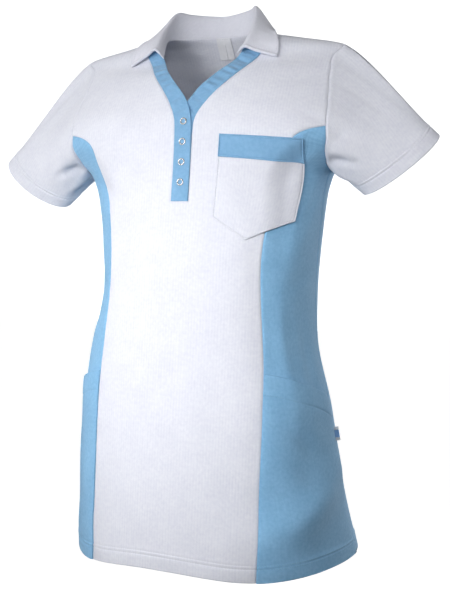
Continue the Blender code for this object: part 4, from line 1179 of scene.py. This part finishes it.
def chest_pocket(sewn):
    """Pointed white pocket with a blue band along its mouth."""
    at = {name: np.array(place, float) for name, place in CHEST_POCKET.items()}
    half = rungs(CHEST_POCKET_HALF, POCKET_RUNGS, CHEST_POCKET_STEPS, PLAIN)
    half = half / CHEST_POCKET_HALF
    columns = np.concatenate([half / 2, (1 - half[::-1] / 2)[1:]])[:, None]
    mouth = at["top_inner"] * (1 - columns) + at["top_outer"] * columns
    joint = at["band_inner"] * (1 - columns) + at["band_outer"] * columns
    fall, climb = np.clip(columns * 2, 0, 1), np.clip(columns * 2 - 1, 0, 1)
    foot = at["foot_inner"] * (1 - fall) + at["foot_point"] * fall
    foot = foot + (at["foot_outer"] - at["foot_point"]) * climb
    clear = CHEST_POCKET_CLEAR[0] + np.ptp(CHEST_POCKET_CLEAR) * columns[:, 0]
    stitched = POCKET_RUNGS.index(POCKET_STITCH)
    lines = [np.s_[stitched:, stitched], np.s_[stitched:, -1 - stitched],
             np.s_[stitched, stitched:-stitched]]
    for name, top, low, long, finish, slot in (
            ("chest_pocket", joint, foot, 90, WHITE, "white_knit"),
            ("chest_pocket_band", mouth, joint, 31, BLUE_BAND, "blue_knit")):
        rows = (rungs(long, POCKET_RUNGS, long // 3, POCKET_RUNGS) / long)[:, None, None]
        flat = low * (1 - rows) + top * rows
        grid = np.stack([angle_at_breadth(*apart(flat)), flat[..., 1]], -1)
        left, right, up, down = cloth_runs(grid)
        inside = np.minimum(np.minimum(left, right), up)
        group = "white"
        if name == "chest_pocket_band":
            inside = np.minimum(inside, down)
            lines = lines + [np.s_[-1 - stitched, stitched:-stitched]]
            group = "band"
        relief = clear + POCKET + POCKET_CROWN * ease(inside, 2, 30)
        relief = relief + ridges(inside, POCKET_RIDGES)
        relief = relief + POCKET_PUCKER * np.sin(up / 4.1) * bell(inside, 6)
        if name == "chest_pocket_band":
            wave = np.sin(left / 2.6 + up / 9)
            relief = relief + POCKET_BAND_WAVE * wave * bell(right - 9, 13)
        points, outward = raised(grid, relief)
        cloth = Cloth()
        cloth.add(points, outward, np.stack([left, up], -1), POCKET)
        shell(f"{name}_knit", cloth, finish, name)
        sewn[group] += [(points[line], outward[line]) for line in lines]


def side_pocket_grid(panel, mouth):
    """Angles and heights of a side pocket: the panel's rows, then rows along its mouth."""
    below = int(np.sum(panel[..., 1].max(axis=1) < mouth.min() - MOUTH_CLEAR))
    first, last = panel[below - 1, :, 1], mouth - MOUTH_RUNGS[0]
    rises = np.linspace(0, 1, MOUTH_STEPS + 1)[1:]
    heights = [first * (1 - rise) + last * rise for rise in rises]
    heights += [mouth - rung for rung in MOUTH_RUNGS[1:]]
    rows = list(panel[:below])
    for height in heights:
        angle = [np.interp(z, line[:, 1], line[:, 0])
                 for z, line in zip(height, panel.swapaxes(0, 1))]
        rows.append(np.stack([angle, height], -1))
    return np.array(rows)


def side_pockets(seams, sewn):
    """Blue patch pockets from the slanted mouth down to the hem."""
    for side, hand in SIDES.items():
        panel = side_grid(seams[side], "front")
        share = runs(bare_form(*apart(panel))[len(panel) // 3])
        share = share / share[-1]
        mouth = read(SIDE_POCKET_MOUTH, share) + SIDE_POCKET_DROP[side]
        grid = side_pocket_grid(panel, mouth)
        left, right, up, _ = cloth_runs(grid)
        across = girth(*apart(grid))
        edge = np.minimum(left, right)
        from_mouth = mouth - grid[..., 1]
        near = np.clip(1 - from_mouth / SIDE_POCKET_GAPE_LONG, 0, 1)
        gape = SIDE_POCKET_GAPE * np.sin(np.pi * share) * near**2 * (3 - 2 * near)
        clear = SIDE_POCKET_CLEAR[0] + np.ptp(SIDE_POCKET_CLEAR) * ease(edge, 0, 10)
        lift = POCKET + clear + gape
        lift = lift + MOUTH_RISE * (1 - ease(from_mouth, MOUTH_HEM, MOUTH_HEM + 2))
        lift = lift + ridges(from_mouth, MOUTH_RIDGES)
        lift = lift + hem_relief(up, across, HEM_STITCHES)
        lift = lift + SIDE_POCKET_SEAM * ridges(edge, SEAM_RIDGES)
        points, outward = raised(grid, lift)
        middle = grid.shape[1] // 2
        cloth = Cloth()
        uv = np.stack([across - across[:, middle:middle + 1], up], -1)
        cloth.add(points, outward, uv, POCKET, flip=side < 0)
        sewn["blue"] += hem_lines(points, outward)
        sewn["blue"].append(mouth_line(points, outward, from_mouth))
        shell(f"side_pocket_{hand}_knit", cloth, BLUE, f"side_pocket_{hand}")


def mouth_line(points, outward, from_mouth):
    """The stitched line a hem's height below a slanted pocket mouth."""
    line, ways = [], []
    for i in range(1, points.shape[1] - 1):
        order = np.argsort(from_mouth[:, i])
        at = from_mouth[order, i]
        line.append(read_along(MOUTH_HEM, at, points[order, i]))
        ways.append(read_along(MOUTH_HEM, at, outward[order, i]))
    return np.array(line), unit(np.array(ways))


def stitching(name, lines, finish):
    """All stitches of one colour as short rounded lengths of thread."""
    along, swell, height = np.array(STITCH_SECTIONS).T
    turn = np.linspace(0, 2 * np.pi, THREAD_SIDES, endpoint=False)[:, None]
    points, faces, start = [], [], 0
    for line, ways in lines:
        at = runs(line)
        count = max(int(at[-1] / (STITCH_LONG + STITCH_APART)), 1)
        middles = (np.arange(count) + 0.5) * at[-1] / count
        where = middles[:, None] + along * STITCH_LONG
        spots = read_along(where, at, line)
        out = unit(read_along(where, at, ways))
        ahead = unit(spots[:, -1:] - spots[:, :1])
        aside = unit(np.cross(out, ahead))
        spots = spots + out * height[:, None]
        ring = np.cos(turn) * aside[:, :, None] + np.sin(turn) * out[:, :, None]
        block = spots[:, :, None] + ring * (swell * THREAD)[:, None, None]
        points.append(block.reshape(-1, 3))
        index = np.arange(block[..., 0].size).reshape(block.shape[:3]) + start
        start += index.size
        beside = np.roll(index, -1, axis=2)
        faces.append(np.stack([index[:, :-1], beside[:, :-1], beside[:, 1:], index[:, 1:]],
                              -1).reshape(-1, 4))
    thread = mesh_object(name, np.vstack(points), np.vstack(faces), finish)
    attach(thread, "root")


def pocket_tab():
    """Blank folded tab at the side seam."""
    heights = np.linspace(TAB_HEIGHTS[1], TAB_HEIGHTS[0], TAB_GRID[0])
    points, outward = torso(read(SIDE_SEAM, heights) + TAB_TURN, heights)
    reach = np.linspace(0.3, TAB_REACH, TAB_GRID[1])
    grid = points[:, None] + outward[:, None] * reach[None, :, None]
    ways = np.broadcast_to(np.array([0.0, -1.0, 0.0]), grid.shape)
    swell = TAB_FOLD * bell(reach - TAB_REACH, 1.5)
    uv = np.stack(np.broadcast_arrays(reach[None, :], heights[:, None]), -1)
    cloth = Cloth()
    cloth.add(grid + ways * swell[:, None] / 2, ways, uv, LABEL + swell)
    shell("pocket_tab_tape", cloth, TAB, "pocket_tab")


def neck_label(sewn):
    """Blank loop label in the neck."""
    breadth, height = np.meshgrid(
        np.linspace(-LABEL_HALF, LABEL_HALF, LABEL_GRID[1]),
        np.linspace(LABEL_TOP - LABEL_LONG, LABEL_TOP, LABEL_GRID[0]))
    points, outward = torso(angle_at_breadth(breadth, height, back=True), height)
    down = LABEL_TOP - height
    curl = 1.6 * bell(breadth, 1.3) * ease(down, 6, 10) + 0.9 * ease(down, 12, 28)
    depth = KNIT + LABEL_CLEAR
    cloth = Cloth()
    cloth.add(points - outward * (depth - 0.3 + curl)[..., None], outward,
              np.stack([breadth, height], -1),
              LABEL + LABEL_FOLD * bell(down - LABEL_LONG, 2.0), flip=True)
    shell("neck_label_tape", cloth, TAPE, "neck_label")
    sewn["label"].append((points[-3] - outward[-3] * (depth + 0.4), -outward[-3]))


def snap_rings():
    """Open metal rings of the closed snaps: a crimped ring with its prongs on the band."""
    turn = np.linspace(0, 2 * np.pi, SNAP_STEPS, endpoint=False)[:, None, None]
    radius, rise = np.array(SNAP_PROFILE).T[..., None]
    dent = SNAP_DENT * np.maximum(0.0, np.cos(SNAP_PRONGS * turn)) ** 2
    rise = rise - dent * (rise > 0)
    index = np.arange(SNAP_STEPS * len(SNAP_PROFILE)).reshape(SNAP_STEPS, -1)
    beside = np.roll(index, -1, axis=1)
    faces = np.stack([index, beside, np.roll(beside, -1, axis=0), np.roll(index, -1, axis=0)],
                     -1).reshape(-1, 4)
    for number, height in enumerate(SNAP_HEIGHTS, start=1):
        point, outward = torso(np.array(0.0), np.array(height))
        seat = point + outward * (TOP_BAND_LIFT + SNAP_SEAT)
        right = unit(np.cross(outward, (0, 0, 1.0)))
        up = unit(np.cross(outward, right))
        points = seat + (right * np.cos(turn) + up * np.sin(turn)) * radius + outward * rise
        piece = mesh_object(f"snap_{number}_ring", points.reshape(-1, 3), faces, METAL)
        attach(piece, "root")
        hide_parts(f"snap_{number}")


class Nodes:
    """Short way to add and join the nodes of one tree."""

    def __init__(self, tree):
        self.tree = tree

    def feed(self, node, inputs):
        """Set some inputs of a node, each to a value or to another node's output."""
        for key, value in inputs.items():
            if isinstance(value, bpy.types.NodeSocket):
                self.tree.links.new(value, node.inputs[key])
            else:
                node.inputs[key].default_value = value

    def add(self, kind, inputs=None, **settings):
        """A node with its inputs and settings."""
        node = self.tree.nodes.new(kind)
        for key, value in settings.items():
            setattr(node, key, value)
        self.feed(node, inputs or {})
        return node

    def math(self, operation, *values):
        """A math node's output."""
        node = self.add("ShaderNodeMath", dict(enumerate(values)), operation=operation)
        return node.outputs[0]

    def noise(self, place, scale, detail):
        """A noise texture's value."""
        inputs = {"Vector": place, "Scale": scale, "Detail": detail}
        return self.add("ShaderNodeTexNoise", inputs).outputs[0]


def knit_group():
    """Double pique knit: its small raised cells and wales, and how its tone varies."""
    group = bpy.data.node_groups.new("pique_knit", "ShaderNodeTree")
    face = group.interface
    for name in ("Cell", "Rib"):
        face.new_socket(name, in_out="INPUT", socket_type="NodeSocketFloat")
    for name in ("Height", "Tone"):
        face.new_socket(name, in_out="OUTPUT", socket_type="NodeSocketFloat")
    n = Nodes(group)
    cell_wide, rib_deep = n.add("NodeGroupInput").outputs[:2]
    place = n.add("ShaderNodeUVMap", uv_map="cloth").outputs[0]
    split = n.add("ShaderNodeSeparateXYZ", {0: place})
    cell = n.math("DIVIDE", 2 * math.pi / MM, cell_wide)
    across = n.math("MULTIPLY", split.outputs[0], cell)
    along = n.math("MULTIPLY", split.outputs[1], cell)
    wale = n.math("COSINE", across)
    half = n.math("MULTIPLY", across, 0.5)
    course = n.math("COSINE", n.math("MULTIPLY_ADD", along, COURSE_STEEP, half))
    counter = n.math("SUBTRACT", n.math("MULTIPLY", along, COURSE_STEEP), half)
    counter = n.math("COSINE", counter)
    cells = n.math("MULTIPLY", course, counter)
    weave = n.math("MULTIPLY_ADD", cells, 0.6, n.math("MULTIPLY", wale, 0.4))
    fuzz = n.math("SUBTRACT", n.noise(place, 900.0, 2.0), 0.5)
    patchy = n.math("MULTIPLY_ADD", n.noise(place, 34.0, 1.0), 2.2, -0.4)
    rib = n.math("MULTIPLY", n.math("COSINE", n.math("DIVIDE", across, 3.0)), patchy)
    rib = n.math("MULTIPLY", rib, rib_deep)
    height = n.math("MULTIPLY_ADD", rib, 0.16, n.math("MULTIPLY_ADD", fuzz, 0.9, weave))
    slow = n.math("SUBTRACT", n.noise(place, 30.0, 4.0), 0.5)
    middle = n.math("SUBTRACT", n.noise(place, 210.0, 2.0), 0.5)
    tone = n.math("MULTIPLY_ADD", slow, 0.5, n.math("MULTIPLY", middle, 0.75))
    tone = n.math("MULTIPLY_ADD", weave, 0.08, n.math("MULTIPLY_ADD", rib, 0.09, tone))
    n.add("NodeGroupOutput", {"Height": height, "Tone": n.math("ADD", tone, 0.5)})
    return group


def new_finish(name):
    """A new material, its nodes and its shader."""
    finish = bpy.data.materials.new(name)
    finish.use_nodes = True
    return finish, Nodes(finish.node_tree), finish.node_tree.nodes["Principled BSDF"]


def knit(name, dark, light, cell=1.4, rib=1.0, bump=0.35):
    """A knitted cloth between two tones; a cell is measured in millimetres."""
    finish, n, shader = new_finish(name)
    weave = n.add("ShaderNodeGroup", {"Cell": cell, "Rib": rib}, node_tree=KNIT_GROUP)
    ramp = n.add("ShaderNodeValToRGB", {0: weave.outputs["Tone"]})
    for stop, place, tone in zip(ramp.color_ramp.elements, (0.2, 0.8), (dark, light)):
        stop.position = place
        stop.color = (*tone, 1)
    relief = n.add("ShaderNodeBump", {"Height": weave.outputs["Height"], "Strength": bump,
                                      "Distance": KNIT_RELIEF})
    n.feed(shader, {
        "Base Color": ramp.outputs[0],
        "Roughness": n.math("MULTIPLY_ADD", weave.outputs["Tone"], 0.12, 0.8),
        "Normal": relief.outputs[0],
        "Specular IOR Level": 0.25,
        "Sheen Weight": 0.25,
        "Sheen Roughness": 0.5,
    })
    return finish


def worn_metal():
    """Polished snap metal with faint scratches."""
    finish, n, shader = new_finish("snap_metal")
    scratch = n.noise(n.add("ShaderNodeTexCoord").outputs["Object"], 1800.0, 3.0)
    shade = n.add("ShaderNodeMapRange", {"Value": scratch, "To Min": 0.35, "To Max": 0.62})
    grey = n.add("ShaderNodeCombineColor", dict.fromkeys(range(3), shade.outputs[0]))
    n.feed(shader, {"Roughness": n.math("MULTIPLY_ADD", scratch, 0.25, 0.12),
                    "Base Color": grey.outputs[0], "Metallic": 1.0})
    return finish


def tab_painted_light_finish():
    """Plain tape, white with a blue middle; the blue is lightened as painted light, since the
    tab falls in shade.
    """
    # Painted light: the blue is set lighter than the tape's own, so that the shaded tab looks
    # bright.
    finish = knit("tab_tape", (0.26, 0.52, 0.92), (0.36, 0.62, 0.98), cell=0.8, bump=0.2)
    n = Nodes(finish.node_tree)
    shader = finish.node_tree.nodes["Principled BSDF"]
    place = n.add("ShaderNodeUVMap", uv_map="cloth").outputs[0]
    split = n.add("ShaderNodeSeparateXYZ", {0: place})
    middle = sum(TAB_HEIGHTS) / 2 * MM
    off = n.math("ABSOLUTE", n.math("SUBTRACT", split.outputs[1], middle))
    edge = n.add("ShaderNodeMapRange", {"Value": off, "From Min": TAB_BLUE_HALF[0] * MM,
                                        "From Max": TAB_BLUE_HALF[1] * MM})
    blue = shader.inputs["Base Color"].links[0].from_socket
    mix = n.add("ShaderNodeMix", data_type="RGBA")
    n.feed(mix, {0: edge.outputs[0], 6: blue, 7: (0.93, 0.95, 0.98, 1)})
    n.feed(shader, {"Base Color": mix.outputs[2]})
    return finish


KNIT_GROUP = knit_group()
WHITE = knit("white_pique", (0.745, 0.762, 0.862), (0.862, 0.878, 0.948))
# The collar's finer knit is its own; its tone, lighter than the white knit, is painted light
# that brightens it where it falls in shade.
COLLAR_WHITE_PAINTED_LIGHT = knit("collar_pique_painted_light", (0.800, 0.812, 0.905), (0.876, 0.888, 0.975), cell=1.2,
                    rib=0.3)
BLUE = knit("blue_pique", (0.213, 0.465, 0.735), (0.320, 0.600, 0.875), rib=0.25)
BLUE_BAND = knit("blue_band", (0.195, 0.410, 0.660), (0.275, 0.510, 0.765), cell=1.2, rib=0.2)
# The threads are darker than their cloth: their own colour plus painted shade of the grooves
# that the stitches sink into.
THREAD_WHITE_PAINTED_SHADE = knit("white_thread_painted_shade", (0.62, 0.64, 0.70), (0.72, 0.74, 0.80), bump=0.1)
THREAD_BLUE_PAINTED_SHADE = knit("blue_thread_painted_shade", (0.17, 0.36, 0.54), (0.24, 0.46, 0.65), bump=0.1)
TAPE = knit("label_tape", (0.82, 0.83, 0.88), (0.90, 0.91, 0.95), cell=0.8, bump=0.15)
TAB = tab_painted_light_finish()
METAL = worn_metal()


def dress():
    """Build every piece of the shirt."""
    seams = {side: seam_paths(side) for side in SIDES}
    sewn = {"white": [], "blue": [], "band": [], "label": []}
    front_panel(seams, sewn)
    back_panel(seams, sewn)
    side_panels(seams, sewn)
    for side in SIDES:
        sleeve(seams[side], side, sewn)
    front_bands(sewn)
    collar(sewn)
    chest_pocket(sewn)
    side_pockets(seams, sewn)
    pocket_tab()
    neck_label(sewn)
    snap_rings()
    stitching("white_stitches", sewn["white"], THREAD_WHITE_PAINTED_SHADE)
    stitching("blue_stitches", sewn["blue"], THREAD_BLUE_PAINTED_SHADE)
    stitching("band_stitches", sewn["band"], THREAD_BLUE_PAINTED_SHADE)
    stitching("label_stitches", sewn["label"], THREAD_WHITE_PAINTED_SHADE)


def lamp(name, azimuth, rise, reach, power, spread):
    """A softbox in a ring round the shirt, turned from the front towards image left."""
    data = bpy.data.lights.new(name, "AREA")
    data.shape = "RECTANGLE"
    data.size, data.size_y = LAMP_SIZE
    data.energy = power
    data.spread = spread
    box = bpy.data.objects.new(name, data)
    middle = Vector(LAMP_TARGET)
    level = Vector((-math.sin(azimuth), -math.cos(azimuth), 0)) * math.cos(rise)
    box.location = middle + (level + Vector((0, 0, math.sin(rise)))) * reach
    box.rotation_euler = (middle - box.location).to_track_quat("-Z", "Y").to_euler()
    box.visible_camera = False
    bpy.context.scene.collection.objects.link(box)


def studio():
    """Pale floor, soft light and white surroundings."""
    corners = np.array([(-1, -1), (1, -1), (1, 1), (-1, 1)]) * FLOOR_REACH
    corners = np.hstack([corners, np.full((4, 1), FLOOR_HEIGHT)])
    floor = mesh_object("studio_floor", corners, [(0, 1, 2, 3)], floor_finish())
    world = bpy.data.worlds.new("studio_world")
    bpy.context.scene.world = world
    world.use_nodes = True
    n = Nodes(world.node_tree)
    seen = n.add("ShaderNodeLightPath").outputs["Is Camera Ray"]
    strength = n.add("ShaderNodeMapRange", {"Value": seen, "To Min": DIM_WORLD,
                                            "To Max": SEEN_WORLD})
    n.feed(world.node_tree.nodes["Background"],
           {"Color": WORLD_TINT, "Strength": strength.outputs[0]})
    for number, (azimuth, rise, reach, power, spread) in enumerate(LAMPS, start=1):
        lamp(f"softbox_{number}", math.radians(azimuth), math.radians(rise), reach, power,
             math.radians(spread))
    view = bpy.context.scene.view_settings
    view.view_transform = "Standard"
    view.look = "None"


def floor_finish():
    """White studio floor that reads as pale as the surroundings."""
    finish, n, shader = new_finish("studio_floor")
    grain = n.add("ShaderNodeTexNoise", {"Scale": FLOOR_GRAIN}).outputs[0]
    n.feed(shader, {
        "Roughness": n.math("MULTIPLY_ADD", grain, 0.1, 0.85),
        "Emission Strength": n.add("ShaderNodeLightPath").outputs["Is Camera Ray"],
        "Base Color": FLOOR_BASE,
        "Emission Color": (1, 1, 1, 1),
    })
    return finish


def camera():
    """The photograph's view."""
    heading, pitch = math.radians(CAMERA["heading"]), math.radians(CAMERA["pitch"])
    level = Vector((-math.sin(heading), math.cos(heading), 0))
    right = Vector((math.cos(heading), math.sin(heading), 0))
    ahead = level * math.cos(pitch) + Vector((0, 0, math.sin(pitch)))
    up = right.cross(ahead)
    data = bpy.data.cameras.new("photo_camera")
    data.lens = CAMERA["lens"]
    data.sensor_width = CAMERA["sensor"]
    data.clip_end = CAMERA["far"]
    eye = bpy.data.objects.new("photo_camera", data)
    turn = Matrix((right, up, -ahead)).transposed().to_4x4()
    eye.matrix_world = Matrix.Translation(Vector(CAMERA["place"]) * MM) @ turn
    bpy.context.scene.collection.objects.link(eye)
    bpy.context.scene.camera = eye


camera()
dress()
studio()
